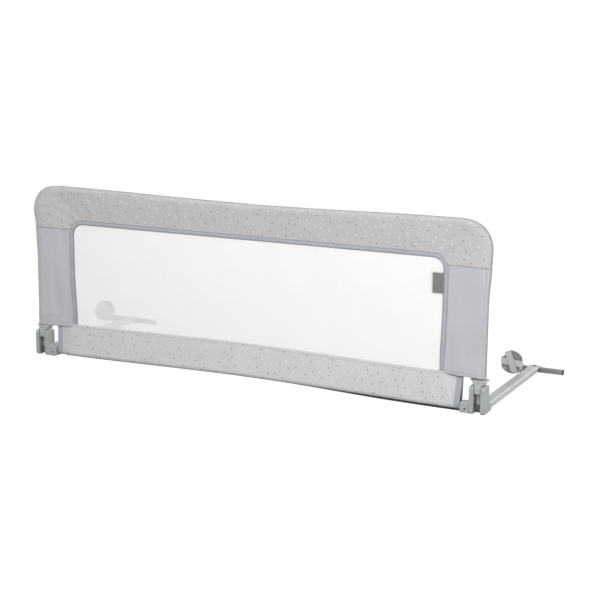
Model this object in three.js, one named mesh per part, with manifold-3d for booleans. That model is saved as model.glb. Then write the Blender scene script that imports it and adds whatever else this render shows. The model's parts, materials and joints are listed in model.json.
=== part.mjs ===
// Folding bed guard rail: a tube frame in a fabric cover, hinged on two brackets that slide under a mattress.
// Millimetres, +Z up. X runs along the rail, -Y is the room side, +Y goes under the mattress.
import * as THREE from 'three';
import { mergeGeometries, mergeVertices } from 'three/addons/utils/BufferGeometryUtils.js';
import Module from 'manifold-3d';

const wasm = await Module();
wasm.setup();

// Whole rail
const coverLength = 1200;
const coverHeight = 435;
const topSag = 7; // the top tube bows down at the middle
const bottomRise = 7; // the bottom tube bows up at the middle
const clearance = 0.3; // between pieces that touch
const overrun = 5; // a cutter runs past the face that it opens

// Round tubes of the guard and the base
const tubeRadius = 8;
const tubeWall = 1;
const legInset = 15; // from the cover's edge to a leg's centre line
const tubeBend = 58;
const hingeHeight = 14;
const ferruleLength = 80;
const sleeveWall = 1.7;
const plugRadius = tubeRadius - tubeWall - clearance;
const boreRadius = tubeRadius + clearance;
const sleeveRadius = boreRadius + sleeveWall;
const bottomStraight = 45; // the bottom tube's straight ends, from the leg

// Hinge bracket, in a frame on the crossing of its leg and hinge axes: x is outboard, z is up
const bracketHalfWidth = 19.5;
const slotHalfWidth = 8.5;
const bracketFront = 20;
const bracketRear = 12;
const cheekTopRadius = 51.7; // the cheeks' tops are arcs about the hinge
const cheekCorner = 7;
const bracketEdge = 3.5;
const footCorner = 8;
const socketRear = 32; // how far the arm socket reaches back
const socketTop = 6; // above the hinge axis
const socketCorner = 5;
const bulgeBlend = 8;
const clamGap = 0.3;
const knuckleRadius = 13;
const knuckleTop = 6.2;
const knuckleEdge = 0.6;
const plugTop = 38;
const stopTop = 30;
const pinRadius = 3;
const pinReach = 16.7;
const panelFront = 13;
const panelRear = 6;
const panelLow = 22;
const panelHigh = 42;
const panelDepth = 0.8;
const panelCorner = 3;

// Tube lug on the bracket's inner half
const lugReach = 41;
const lugTop = 10;
const lugBlendTop = 19;
const lugFront = 17;
const lugRear = 11;
const lugCorner = 3;
const lugEdge = 1.5;
const lugGround = 0.5; // the lug stays this far off the floor
const lugRoot = 12;
const lugBlendReach = 24;
const tubeEndGap = 1.8;

// Screws
const clamScrewRadius = 1.7;
const clamScrewHead = 3;
const clamScrewHeadHeight = 2.4;
const clamScrewBehind = 16.6; // behind the hinge axis
const clamScrewHeights = [-8.3, 0.6];
const clamScrewEnd = 14;
const lugScrewRadius = 1.4;
const lugScrewHead = 2;
const lugScrewHeadHeight = 2;
const lugScrewInset = 29;
const lugScrewDrop = 4.5;
const lugScrewRecess = 1.2;
const lugScrewEnd = 3; // its point stops this far in front of the tube's centre

// Arm: a flat-oval tube, pressed flat over the crossbar
const armOffset = 1.5; // outboard of the leg
const armWidth = 30;
const armHeight = 15;
const armWall = 1.2;
const armGround = 1.8;
const armEnd = 421;
const armStart = 20.3;
const pressLength = 12;
const pressedLength = 22;
const pressedWidth = 30;
const pressedThickness = 2.4;

// Snap button that holds the arm in its socket
const buttonRadius = 3;
const buttonBehind = 25.6;
const buttonProud = 4; // beyond the arm's side
const buttonRoot = 3.4; // inside the arm's wall
const buttonFlange = 1;
const buttonFlangeRadius = 4;
const dishRadius = 4.6;
const dishFloor = 16.2; // from the bracket's middle
const leafThickness = 0.6;
const leafHeight = 7;
const leafLength = 24;
const leafInset = 1.8; // its far leg lies on the arm's rounded side

// Crossbar
const barLength = 141;
const barSide = 12;
const barWall = 1.2;
const barCorner = 2;
const capSide = 12.8;
const capFlange = 3;
const capPlug = 10;
const rivetRadius = 2.5;
const rivetHead = 4.5;
const rivetDome = 1.8;
const rivetBulb = 3.5;
const rivetBulbHeight = 2;

// Strap disc and its webbing
const discRadius = 29;
const discHalf = 2;
const discWeb = 1.2; // half thickness inside the rim
const discRim = 4;
const strapBed = 22.5; // from the disc's middle to the flats in its rim that the webbing turns over
const bedSide = 0.5; // between the webbing and each end of a flat
const strapFromEnd = 12.7; // the left strap's middle, from the crossbar's end
// Where each disc's middle lies, off its arm's middle and in front of its crossbar, and how far it is turned
const discSpots = {
  right: { offArm: 36.8, offBar: 71, height: 36, turn: 0 },
  left: {
    offArm: barLength / 2 - strapFromEnd,
    offBar: 54.5,
    height: 37.5,
    turn: THREE.MathUtils.degToRad(30),
  },
};
const notchRadius = 7;
const notchCentre = 31;
const strapWidth = 18;
const strapThickness = 1;
const strapPitch = 1.5; // layer to layer
const strapPasses = 3; // runs over the front of the disc
const steepRun = THREE.MathUtils.degToRad(110);
const levelRun = THREE.MathUtils.degToRad(175);
const strapStubShare = 0.4; // its inner end lies behind the disc, at this share of the radius
const tailSteps = 6;
const loopEndGap = 2.2;

// Latch collar on a leg
const shoulder = 52; // its underside above the hinge axis
const collarTop = 63.5;
const collarHalfWidth = 12;
const collarHalfDepth = 16;
const collarCorner = 5;
const collarFlare = 57;
const wingReach = 22;
const wingTip = 61.6;
const wingLean = 2.5; // its underside curves out from a point this far past the collar's side
const wingHalfDepth = 13.5;
const noseLow = 33;
const noseFront = 18;
const noseRear = 12;
const noseCorner = 4;
const noseClearance = 0.35;

// Latch spring and its stop ring
const wireRadius = 0.55;
const coilRadius = 9.2;
const coilCurls = 6;
const springFree = 21.9;
const stopRingRadius = 10;
const stopRingHeight = 4;

// Fabric cover
const leastFlat = 0.02; // between two round corners
const clothThickness = 4;
const bindingThickness = 5;
const topCornerRadius = 68;
const seamDrop = 106.5; // from the cover's top to the seam between its two fabrics
const sideHem = 78;
const hemHeight = 10; // it gives way as the collar rises
const panelWidth = 96;
const bindingWidth = 12.5;
const bindingTopWidth = 11;
const topBand = 81.5; // from the cover's top to the window's binding
const bindingCorner = 38;
const windowCorner = 27;
const bandTop = 87;
const bandTopRise = 6.5;
const bandFromLeg = 40;
const bandSlant = 6; // the band is this much shorter at its lower edge, each end
const bandEndStrip = 11;
const lowerSleeveRadius = 12;
const sleeveShort = 7; // the lower sleeve ends this far inside the band's ends
const netThickness = 1.2;
const netStrand = 3;
const netColumns = 18;
const netRows = 8;
const labelWidth = 24;
const labelHeight = 46;
const labelDrop = 44; // below the binding's upper edge
const labelThickness = 0.8;

// How finely curves are cut
const tubeSides = 12;
const roundSides = 16;
const discSides = 28;
const boltSides = 8;
const bendSteps = 6;
const bowSteps = 6;
const cornerSteps = 3;
const edgeSteps = 2;
const curlSteps = 8;
const wireSides = 5;
const rimSteps = 6;
const turnSteps = 7;
const quarter = Math.PI / 2;

// Places that several pieces share
const legCentre = coverLength / 2 - legInset;
const panelInner = coverLength / 2 - panelWidth;
const seamHeight = coverHeight - seamDrop;
const bindingTop = coverHeight - topBand;
const bandHalfLength = legCentre - bandFromLeg;
const lowerSleeveHalf = bandHalfLength - sleeveShort;
const topTubeHeight = coverHeight - sleeveRadius;
const cornerCentre = legCentre - tubeBend;
const bottomSpan = legCentre - bottomStraight;
const tubeEnd = legCentre - bracketHalfWidth - tubeEndGap;
const clamScrewHeadBed = bracketHalfWidth - 2 * clamScrewHeadHeight;
const armMiddle = armGround + armHeight / 2;
const armTop = armGround + armHeight;
const buttonHeight = armMiddle - hingeHeight;
const barMiddle = capSide / 2;
const barTop = barMiddle + barSide / 2;
const barY = armEnd - barSide / 2;
const plateLow = barTop + clearance;
const springBottom = collarTop + clearance;
const ringBottom = springBottom + springFree + clearance;
const pocketRadius = stopRingRadius + clearance;
const pocketTop = hingeHeight + ringBottom + stopRingHeight + clearance;

// Finishes
const finish = (color, roughness, metalness = 0) =>
  new THREE.MeshStandardMaterial({ color, roughness, metalness });
const looks = {
  bracket: () => finish(0xa2a5a5, 0.5),
  collar: () => finish(0xa6a9a9, 0.45),
  foot: () => finish(0x4c5153, 0.6),
  paint: () => finish(0xc2c6c4, 0.35),
  bar: () => finish(0x84878a, 0.4),
  cap: () => finish(0x55585a, 0.6),
  steel: () => finish(0xb0b2b4, 0.3, 1),
  disc: () => finish(0x8c8f8d, 0.5),
  webbing: () => finish(0xb9bbbb, 0.9),
  dotted: () => finish(0xc3c2c4, 0.95),
  plain: () => finish(0xb7bbc3, 0.95),
  binding: () => finish(0x9ba0a6, 0.9),
  net: () => finish(0xf1f1f1, 0.9),
  label: () => finish(0x969492, 0.9),
};

// Solids: a closed geometry becomes a solid, is cut and joined, and becomes a geometry again
function solid(geometry) {
  const bare = geometry.clone();
  bare.deleteAttribute('normal');
  bare.deleteAttribute('uv');
  const merged = mergeVertices(bare);
  return new wasm.Manifold(
    new wasm.Mesh({
      numProp: 3,
      vertProperties: new Float32Array(merged.attributes.position.array),
      triVerts: new Uint32Array(merged.index.array),
    }),
  );
}

function geometryOf(body) {
  const mesh = body.getMesh();
  const geometry = new THREE.BufferGeometry();
  geometry.setAttribute('position', new THREE.BufferAttribute(new Float32Array(mesh.vertProperties), 3));
  geometry.setIndex(new THREE.BufferAttribute(new Uint32Array(mesh.triVerts), 1));
  geometry.computeVertexNormals();
  return geometry;
}

function cut(body, ...tools) {
  return tools.reduce((rest, tool) => rest.subtract(solid(tool)), body);
}

function join(body, ...others) {
  return others.reduce((whole, other) => whole.add(solid(other)), body);
}

// A mirror image across x = 0, with its faces turned out again
function mirrored(geometry) {
  const image = geometry.index ? geometry.toNonIndexed() : geometry.clone();
  image.applyMatrix4(new THREE.Matrix4().makeScale(-1, 1, 1));
  const points = image.attributes.position;
  const first = new THREE.Vector3();
  const last = new THREE.Vector3();
  for (let i = 0; i < points.count; i += 3) {
    first.fromBufferAttribute(points, i);
    last.fromBufferAttribute(points, i + 2);
    points.setXYZ(i, last.x, last.y, last.z);
    points.setXYZ(i + 2, first.x, first.y, first.z);
  }
  image.computeVertexNormals();
  return image;
}

// Outlines are drawn flat and then stood up: alongX turns (x, y) to (Y, Z), alongY turns it to (X, Z)
function thick(shape, depth, edge = 0) {
  const geometry = new THREE.ExtrudeGeometry(shape, {
    depth: depth - 2 * edge,
    bevelEnabled: edge > 0,
    bevelThickness: edge,
    bevelSize: edge,
    bevelOffset: -edge,
    bevelSegments: edgeSteps,
    curveSegments: cornerSteps,
  });
  return geometry.translate(0, 0, edge - depth / 2);
}

const axisX = new THREE.Vector3(1, 0, 0);
const axisY = new THREE.Vector3(0, 1, 0);
const axisZ = new THREE.Vector3(0, 0, 1);

function alongX(geometry) {
  return geometry.applyMatrix4(new THREE.Matrix4().makeBasis(axisY, axisZ, axisX));
}

function alongY(geometry) {
  return geometry.applyMatrix4(new THREE.Matrix4().makeBasis(axisX, axisZ, axisY.clone().negate()));
}

function block(fromX, toX, fromY, toY, fromZ, toZ) {
  const geometry = new THREE.BoxGeometry(toX - fromX, toY - fromY, toZ - fromZ);
  return geometry.translate((fromX + toX) / 2, (fromY + toY) / 2, (fromZ + toZ) / 2);
}

// A round bar from one end to the other along x, y or z
function rod(axis, radius, from, to, sides = roundSides) {
  const geometry = new THREE.CylinderGeometry(radius, radius, to - from, sides);
  geometry.translate(0, (from + to) / 2, 0);
  if (axis === 'x') geometry.rotateZ(-quarter);
  if (axis === 'z') geometry.rotateX(quarter);
  return geometry;
}

function circle(radius, sides) {
  const points = Array.from({ length: sides }, (_, i) => {
    const angle = (i / sides) * 2 * Math.PI;
    return new THREE.Vector2(radius * Math.cos(angle), radius * Math.sin(angle));
  });
  return new THREE.Shape(points);
}

function roundedRect(width, height, wantedCorner) {
  const shape = new THREE.Shape();
  const x = width / 2;
  const y = height / 2;
  const corner = Math.min(wantedCorner, x - leastFlat, y - leastFlat);
  shape.moveTo(x, y - corner);
  shape.absarc(x - corner, y - corner, corner, 0, quarter);
  shape.absarc(corner - x, y - corner, corner, quarter, 2 * quarter);
  shape.absarc(corner - x, corner - y, corner, 2 * quarter, 3 * quarter);
  shape.absarc(x - corner, corner - y, corner, 3 * quarter, 4 * quarter);
  return shape;
}

// A path known at chosen stations, so that a straight run takes one step
class StationPath extends THREE.Curve {
  constructor(stations) {
    super();
    this.stations = stations;
  }

  station(share) {
    return this.stations[Math.round(share * (this.stations.length - 1))];
  }

  getPointAt(share, target = new THREE.Vector3()) {
    return target.copy(this.station(share).point);
  }

  getTangentAt(share, target = new THREE.Vector3()) {
    return target.copy(this.station(share).tangent);
  }

  getSpacedPoints() {
    return this.stations.map((station) => station.point.clone());
  }
}

function pipe(stations, outer, inner, sides = tubeSides) {
  const section = circle(outer, sides);
  if (inner) section.holes.push(circle(inner, sides));
  const extrudePath = new StationPath(stations);
  return new THREE.ExtrudeGeometry(section, { steps: stations.length - 1, extrudePath });
}

// Rings of equally many points, skinned and closed at both ends
function skin(rings) {
  const sides = rings[0].length;
  const position = rings.flat().flatMap((point) => [point.x, point.y, point.z]);
  const index = [];
  for (let ring = 0; ring + 1 < rings.length; ring += 1) {
    for (let side = 0; side < sides; side += 1) {
      const here = ring * sides + side;
      const next = ring * sides + ((side + 1) % sides);
      index.push(here, next, next + sides, here, next + sides, here + sides);
    }
  }
  const last = (rings.length - 1) * sides;
  for (let side = 1; side + 1 < sides; side += 1) {
    index.push(0, side + 1, side, last, last + side, last + side + 1);
  }
  const geometry = new THREE.BufferGeometry();
  geometry.setAttribute('position', new THREE.Float32BufferAttribute(position, 3));
  geometry.setIndex(index);
  geometry.computeVertexNormals();
  return geometry;
}

// Least gap of a swept piece to itself: points on its middle that lie apart along it, less its thickness
function leastSelfGap(samples, apart, thickness) {
  let least = Infinity;
  samples.forEach((a, i) => {
    samples.slice(i + 1).forEach((b) => {
      if (b.along - a.along > apart) least = Math.min(least, a.point.distanceTo(b.point));
    });
  });
  return least - thickness;
}

// How far a bowed tube is from straight: most at the middle, level there and at both ends
function bow(x, depth, span) {
  return Math.abs(x) < span ? (depth * (1 + Math.cos((Math.PI * x) / span))) / 2 : 0;
}

function bowSlope(x, depth, span) {
  return Math.abs(x) < span ? (-depth * Math.PI * Math.sin((Math.PI * x) / span)) / (2 * span) : 0;
}

const topEdge = (x) => coverHeight - bow(x, topSag, cornerCentre);
const bandEdge = (x) => bandTop + bow(x, bandTopRise, panelInner);
const bottomAxis = (x) => hingeHeight + bow(x, bottomRise, bottomSpan);

const at = (x, y, z) => new THREE.Vector3(x, y, z);

// Stations from a leg's lower end, round the corner and along the top to innerX
function halfFrame(legBottom, innerX) {
  const stations = [{ point: at(legCentre, 0, legBottom), tangent: axisZ }];
  const cornerHeight = topTubeHeight - tubeBend;
  for (let step = 0; step <= bendSteps; step += 1) {
    const angle = (step / bendSteps) * quarter;
    const x = cornerCentre + tubeBend * Math.cos(angle);
    const z = cornerHeight + tubeBend * Math.sin(angle);
    stations.push({ point: at(x, 0, z), tangent: at(-Math.sin(angle), 0, Math.cos(angle)) });
  }
  for (let step = 1; step <= bowSteps; step += 1) {
    const x = cornerCentre + (step / bowSteps) * (innerX - cornerCentre);
    const slope = -bowSlope(x, topSag, cornerCentre);
    const z = topTubeHeight - bow(x, topSag, cornerCentre);
    stations.push({ point: at(x, 0, z), tangent: at(-1, 0, -slope).normalize() });
  }
  return stations;
}

function wholeFrame(legBottom) {
  const half = halfFrame(legBottom, 0);
  const other = half
    .slice(0, -1)
    .reverse()
    .map(({ point, tangent }) => ({
      point: at(-point.x, 0, point.z),
      tangent: at(tangent.x, 0, -tangent.z),
    }));
  return [...half, ...other];
}

// Stations of the bottom tube between two places
function bottomRun(fromX, toX, steps) {
  return Array.from({ length: steps + 1 }, (_, step) => {
    const x = fromX + (step / steps) * (toX - fromX);
    const slope = bowSlope(x, bottomRise, bottomSpan);
    return { point: at(x, 0, bottomAxis(x)), tangent: at(1, 0, slope).normalize() };
  });
}

// Hinge bracket: the side view of both halves, in (y, z) about the hinge
function bracketOutline() {
  const ground = -hingeHeight;
  const outline = new THREE.Shape();
  const cheekLow = socketTop + bulgeBlend;
  const frontTop = Math.sqrt(cheekTopRadius ** 2 - bracketFront ** 2) - cheekCorner;
  const rearTop = Math.sqrt(cheekTopRadius ** 2 - bracketRear ** 2) - cheekCorner;
  const arcFront = Math.asin((bracketFront - cheekCorner) / cheekTopRadius);
  const arcRear = Math.asin((bracketRear - cheekCorner) / cheekTopRadius);
  outline.moveTo(-bracketFront + footCorner, ground);
  outline.lineTo(socketRear - footCorner, ground);
  outline.absarc(socketRear - footCorner, ground + footCorner, footCorner, -quarter, 0);
  outline.lineTo(socketRear, socketTop - socketCorner);
  outline.absarc(socketRear - socketCorner, socketTop - socketCorner, socketCorner, 0, quarter);
  outline.lineTo(bracketRear + bulgeBlend, socketTop);
  outline.quadraticCurveTo(bracketRear, socketTop, bracketRear, cheekLow);
  outline.lineTo(bracketRear, rearTop);
  const rearCorner = cheekTopRadius * Math.cos(arcRear);
  outline.quadraticCurveTo(bracketRear, rearCorner, bracketRear - cheekCorner, rearCorner);
  outline.absarc(0, 0, cheekTopRadius, quarter - arcRear, quarter + arcFront);
  const frontCorner = cheekTopRadius * Math.cos(arcFront);
  outline.quadraticCurveTo(-bracketFront, frontCorner, -bracketFront, frontTop);
  outline.lineTo(-bracketFront, ground + footCorner);
  outline.absarc(-bracketFront + footCorner, ground + footCorner, footCorner, Math.PI, 3 * quarter);
  return outline;
}

// The slot that the leg swings in: open in front, above and below, with a stop wall behind the leg
function slotCutters() {
  const high = cheekTopRadius + overrun;
  const low = -hingeHeight - overrun;
  const half = slotHalfWidth;
  const wall = boreRadius;
  return [
    block(-half, half, -bracketFront - overrun, wall, low, high),
    block(-half, half, -bracketFront - overrun, bracketRear + overrun, stopTop, high),
    rod('x', knuckleRadius + clearance, -half, half, roundSides),
  ];
}

// The arm socket, in the bracket's frame
function socketCutter() {
  const section = roundedRect(armWidth + 2 * clearance, armHeight + 2 * clearance, armHeight / 2);
  const depth = socketRear - armStart + clearance + overrun;
  const geometry = alongY(thick(section, depth));
  const middle = armStart - clearance + depth / 2;
  return geometry.translate(armOffset, middle, armMiddle - hingeHeight);
}

function clamScrewCutters() {
  return clamScrewHeights.flatMap((height) => [
    rod('x', clamScrewRadius + clearance, -bracketHalfWidth, clamScrewEnd + clearance, boltSides),
    rod('x', clamScrewHead + clearance, -bracketHalfWidth - overrun, -clamScrewHeadBed, boltSides),
  ].map((hole) => hole.translate(0, clamScrewBehind, height)));
}

function bracketBlock() {
  const body = solid(alongX(thick(bracketOutline(), 2 * bracketHalfWidth, bracketEdge)));
  return cut(body, ...slotCutters(), socketCutter(), ...clamScrewCutters());
}

function pinBore() {
  const reach = pinReach + clearance;
  return rod('x', pinRadius + clearance, -reach, reach, boltSides);
}

function outerHalf() {
  const panel = roundedRect(panelFront + panelRear, panelHigh - panelLow, panelCorner);
  const recess = alongX(thick(panel, 2 * panelDepth));
  recess.translate(bracketHalfWidth, (panelRear - panelFront) / 2, (panelLow + panelHigh) / 2);
  const away = bracketHalfWidth + overrun;
  const high = cheekTopRadius + overrun;
  const inner = block(-away, clamGap / 2, -away - overrun, socketRear + overrun, -high, high);
  return cut(bracketBlock(), inner, recess, pinBore());
}

function lugOutline() {
  const low = lugGround - hingeHeight;
  const outline = new THREE.Shape();
  outline.moveTo(-lugRoot, low);
  outline.lineTo(-lugRoot, lugBlendTop);
  outline.lineTo(-bracketHalfWidth + bracketEdge / 2, lugBlendTop);
  outline.quadraticCurveTo(-bracketHalfWidth, lugTop, -lugBlendReach, lugTop);
  outline.lineTo(-lugReach + lugCorner, lugTop);
  outline.absarc(-lugReach + lugCorner, lugTop - lugCorner, lugCorner, quarter, 2 * quarter);
  outline.lineTo(-lugReach, low + lugCorner);
  outline.absarc(-lugReach + lugCorner, low + lugCorner, lugCorner, 2 * quarter, 3 * quarter);
  return outline;
}

function innerHalf() {
  const away = bracketHalfWidth + overrun;
  const high = cheekTopRadius + overrun;
  const outer = block(-clamGap / 2, away, -away - overrun, socketRear + overrun, -high, high);
  const lug = alongY(thick(lugOutline(), lugFront + lugRear, lugEdge));
  lug.translate(0, (lugRear - lugFront) / 2, 0);
  const headBed = -lugFront + lugScrewRecess + lugScrewHeadHeight;
  const headHole = rod('y', lugScrewHead + clearance, -lugFront - overrun, headBed, boltSides);
  const shankHole = rod('y', lugScrewRadius + clearance, -lugFront, 0, boltSides);
  const screwHoles = [headHole, shankHole].map((hole) => hole.translate(-lugScrewInset, 0, -lugScrewDrop));
  const dish = rod('x', dishRadius, -bracketHalfWidth - overrun, -dishFloor, roundSides);
  const buttonHole = rod('x', buttonRadius + clearance, -bracketHalfWidth, 0, boltSides);
  [dish, buttonHole].forEach((hole) => hole.translate(0, buttonBehind, buttonHeight));
  const tubeBore = rod('x', boreRadius, -lugReach - overrun, tubeEnd - legCentre + clearance, tubeSides);
  const body = join(cut(bracketBlock(), outer), lug);
  return cut(body, tubeBore, ...screwHoles, dish, buttonHole, pinBore());
}

function clamScrew() {
  const shank = rod('x', clamScrewRadius, -clamScrewHeadBed - clearance, clamScrewEnd, boltSides);
  const headFrom = -clamScrewHeadBed - clearance - clamScrewHeadHeight;
  const head = rod('x', clamScrewHead, headFrom, -clamScrewHeadBed - clearance, boltSides);
  return geometryOf(join(solid(head), shank));
}

function lugScrew() {
  const headFrom = -lugFront + lugScrewRecess;
  const headTo = headFrom + lugScrewHeadHeight - clearance;
  const head = rod('y', lugScrewHead, headFrom, headTo, boltSides);
  const shank = rod('y', lugScrewRadius, headTo - lugScrewHeadHeight / 2, -lugScrewEnd, boltSides);
  return geometryOf(join(solid(head), shank));
}

// Leg foot: a knuckle on the hinge pin, cut flat under the leg tube, with a plug up inside it
function legFoot() {
  const flat = Math.asin(knuckleTop / knuckleRadius);
  const profile = new THREE.Shape();
  profile.absarc(0, 0, knuckleRadius, Math.PI - flat, 2 * Math.PI + flat);
  const body = solid(alongX(thick(profile, 2 * (slotHalfWidth - clearance), knuckleEdge)));
  const plug = rod('z', plugRadius, 0, plugTop, tubeSides);
  return geometryOf(cut(join(body, plug), pinBore()));
}

// Latch collar: a shouldered sleeve with a nose between the cheeks and two finger wings
function latchCollar() {
  const flare = new THREE.Shape();
  flare.moveTo(-collarHalfWidth, shoulder);
  flare.lineTo(collarHalfWidth, shoulder);
  flare.lineTo(collarHalfWidth, collarFlare);
  flare.quadraticCurveTo(collarHalfWidth + wingLean, wingTip, wingReach, wingTip);
  flare.lineTo(wingReach, collarTop);
  flare.lineTo(-wingReach, collarTop);
  flare.lineTo(-wingReach, wingTip);
  flare.quadraticCurveTo(-collarHalfWidth - wingLean, wingTip, -collarHalfWidth, collarFlare);
  const wings = solid(alongY(thick(flare, 2 * wingHalfDepth)));
  const plan = thick(roundedRect(2 * wingReach, 2 * wingHalfDepth, wingHalfDepth), 2 * collarTop);
  const trunkSection = roundedRect(2 * collarHalfWidth, 2 * collarHalfDepth, collarCorner);
  const trunk = thick(trunkSection, collarTop - shoulder).translate(0, 0, (collarTop + shoulder) / 2);
  const noseWidth = 2 * (slotHalfWidth - noseClearance);
  const noseTop = shoulder + clearance;
  const nose = thick(roundedRect(noseWidth, noseFront + noseRear, noseCorner), noseTop - noseLow);
  nose.translate(0, (noseRear - noseFront) / 2, (noseTop + noseLow) / 2);
  const bore = rod('z', boreRadius, noseLow - overrun, collarTop + overrun, tubeSides);
  const whole = join(wings.intersect(solid(plan.translate(0, 0, collarTop))), trunk, nose);
  return geometryOf(cut(whole, bore));
}

// Latch spring: one open helix round the leg
function latchSpring(bottom) {
  const steps = coilCurls * curlSteps;
  const rise = springFree - 2 * wireRadius;
  const rings = [];
  const samples = [];
  const around = 2 * Math.PI * coilRadius;
  const pitchAngle = Math.atan2(rise / coilCurls, around);
  for (let step = 0; step <= steps; step += 1) {
    const angle = (step / curlSteps) * 2 * Math.PI;
    const out = at(Math.cos(angle), Math.sin(angle), 0);
    const along = at(-Math.sin(angle), Math.cos(angle), Math.tan(pitchAngle)).normalize();
    const up = out.clone().cross(along);
    const centre = out.clone().multiplyScalar(coilRadius);
    centre.z = bottom + wireRadius + (step / steps) * rise;
    samples.push({ point: centre.clone(), along: (step / curlSteps) * around });
    rings.push(
      Array.from({ length: wireSides }, (_, side) => {
        const turn = (side / wireSides) * 2 * Math.PI;
        const point = centre.clone().addScaledVector(out, wireRadius * Math.cos(turn));
        return point.addScaledVector(up, -wireRadius * Math.sin(turn));
      }),
    );
  }
  const gap = leastSelfGap(samples, around / 2, 2 * wireRadius);
  console.log(`latch spring: least gap to itself ${gap.toFixed(2)} mm`);
  return skin(rings);
}

// Arm: rings of a flat oval, from the socket to the end pressed flat over the crossbar
function ovalRing(y, width, height, middle) {
  const section = roundedRect(width, height, height / 2);
  return section.getPoints(cornerSteps).map((p) => at(-p.x, y, middle + p.y));
}

function armTube() {
  const middle = armMiddle;
  const plateMiddle = plateLow + pressedThickness / 2;
  const pressEnd = armEnd - pressedLength;
  const pressStart = pressEnd - pressLength;
  const outer = [
    ovalRing(armStart, armWidth, armHeight, middle),
    ovalRing(pressStart, armWidth, armHeight, middle),
    ovalRing(pressEnd, pressedWidth, pressedThickness, plateMiddle),
    ovalRing(armEnd, pressedWidth, pressedThickness, plateMiddle),
  ];
  const wide = armWidth - 2 * armWall;
  const tall = armHeight - 2 * armWall;
  const halfway = (pressStart + pressEnd) / 2;
  const pinched = (tall + pressedThickness) / 2 - armWall;
  const inner = [
    ovalRing(armStart - overrun, wide, tall, middle),
    ovalRing(pressStart, wide, tall, middle),
    ovalRing(halfway, wide, pinched, (middle + plateMiddle) / 2),
  ];
  const rivetHole = rod('z', rivetRadius + clearance, plateLow - overrun, armTop + overrun, boltSides);
  rivetHole.translate(0, barY, 0);
  const buttonHole = rod('x', buttonRadius + clearance, -armWidth, 0, boltSides);
  buttonHole.translate(0, buttonBehind, middle);
  return geometryOf(cut(solid(skin(outer)), skin(inner), rivetHole, buttonHole));
}

function snapButton() {
  const side = armWidth / 2;
  const root = side - armWall - buttonRoot;
  const pin = rod('x', buttonRadius, -side - buttonProud, -root, boltSides);
  const flange = rod('x', buttonFlangeRadius, -root - buttonFlange, -root, boltSides);
  return geometryOf(join(solid(pin), flange));
}

// Leaf spring behind the button: a strip bent back on itself between the arm's two sides
function buttonSpring() {
  const wall = armWidth / 2 - armWall;
  const near = -wall + buttonRoot + clearance;
  const far = wall - leafInset;
  const middle = (near + far) / 2;
  const radius = (far - near) / 2;
  const bendY = buttonBehind + leafLength;
  const strip = new THREE.Shape();
  strip.moveTo(near, buttonBehind - buttonFlangeRadius);
  strip.lineTo(near, bendY);
  strip.absarc(middle, bendY, radius, Math.PI, 0, true);
  strip.lineTo(far, buttonBehind);
  strip.lineTo(far - leafThickness, buttonBehind);
  strip.lineTo(far - leafThickness, bendY);
  strip.absarc(middle, bendY, radius - leafThickness, 0, Math.PI, false);
  strip.lineTo(near + leafThickness, buttonBehind - buttonFlangeRadius);
  return thick(strip, leafHeight);
}

// Crossbar with its end caps and rivet, in a frame on the bar's middle
function crossbar() {
  const section = roundedRect(barSide, barSide, barCorner);
  section.holes.push(roundedRect(barSide - 2 * barWall, barSide - 2 * barWall, barCorner - barWall));
  const bar = solid(alongX(thick(section, barLength)));
  return geometryOf(cut(bar, rod('z', rivetRadius + clearance, 0, barSide, boltSides)));
}

function barCap() {
  const flange = alongX(thick(roundedRect(capSide, capSide, barCorner), capFlange));
  flange.translate(barLength / 2 + clearance + capFlange / 2, 0, 0);
  const plugSide = barSide - 2 * barWall - 2 * clearance;
  const plugEnd = barLength / 2 + clearance + capFlange / 2;
  const plugStart = barLength / 2 - capPlug;
  const plug = block(plugStart, plugEnd, -plugSide / 2, plugSide / 2, -plugSide / 2, plugSide / 2);
  return geometryOf(join(solid(flange), plug));
}

function rivet() {
  const seat = plateLow + pressedThickness + clearance;
  const grip = barTop - barWall - clearance;
  const profile = [
    [0, grip - rivetBulbHeight],
    [rivetBulb, grip - rivetBulbHeight],
    [rivetBulb, grip],
    [rivetRadius, grip],
    [rivetRadius, seat],
    [rivetHead, seat],
    [rivetHead * Math.SQRT1_2, seat + rivetDome * Math.SQRT1_2],
    [0, seat + rivetDome],
  ].map(([radius, height]) => new THREE.Vector2(radius, height));
  return new THREE.LatheGeometry(profile, boltSides).rotateX(quarter);
}

// Strap disc: a rimmed wheel with two notches between the runs of webbing
function strapDisc() {
  const rimInner = discRadius - discRim;
  const rim = Array.from({ length: 2 * edgeSteps + 1 }, (_, step) => {
    const angle = (step / edgeSteps - 1) * quarter;
    const radius = discRadius - discHalf + discHalf * Math.cos(angle);
    return new THREE.Vector2(radius, discHalf * Math.sin(angle));
  });
  const profile = [
    new THREE.Vector2(0, -discWeb),
    new THREE.Vector2(rimInner - discWeb, -discWeb),
    new THREE.Vector2(rimInner, -discHalf),
    ...rim,
    new THREE.Vector2(rimInner, discHalf),
    new THREE.Vector2(rimInner - discWeb, discWeb),
    new THREE.Vector2(0, discWeb),
  ];
  const wheel = solid(new THREE.LatheGeometry(profile, discSides));
  const middle = (steepRun + levelRun) / 2;
  const notches = [middle, middle + Math.PI].map((angle) => {
    const notch = rod('y', notchRadius, -discHalf - overrun, discHalf + overrun, roundSides);
    return notch.translate(notchCentre * Math.cos(angle), 0, notchCentre * Math.sin(angle));
  });
  const bedHalf = strapWidth / 2 + bedSide;
  const beds = [steepRun, levelRun].flatMap((run) => [run, run + Math.PI]).map((run) =>
    block(strapBed, discRadius + overrun, -discHalf - overrun, discHalf + overrun, -bedHalf, bedHalf)
      .rotateY(-run));
  return geometryOf(cut(wheel, ...notches, ...beds));
}

const inPlane = (angle) => at(Math.cos(angle), 0, Math.sin(angle));

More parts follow.
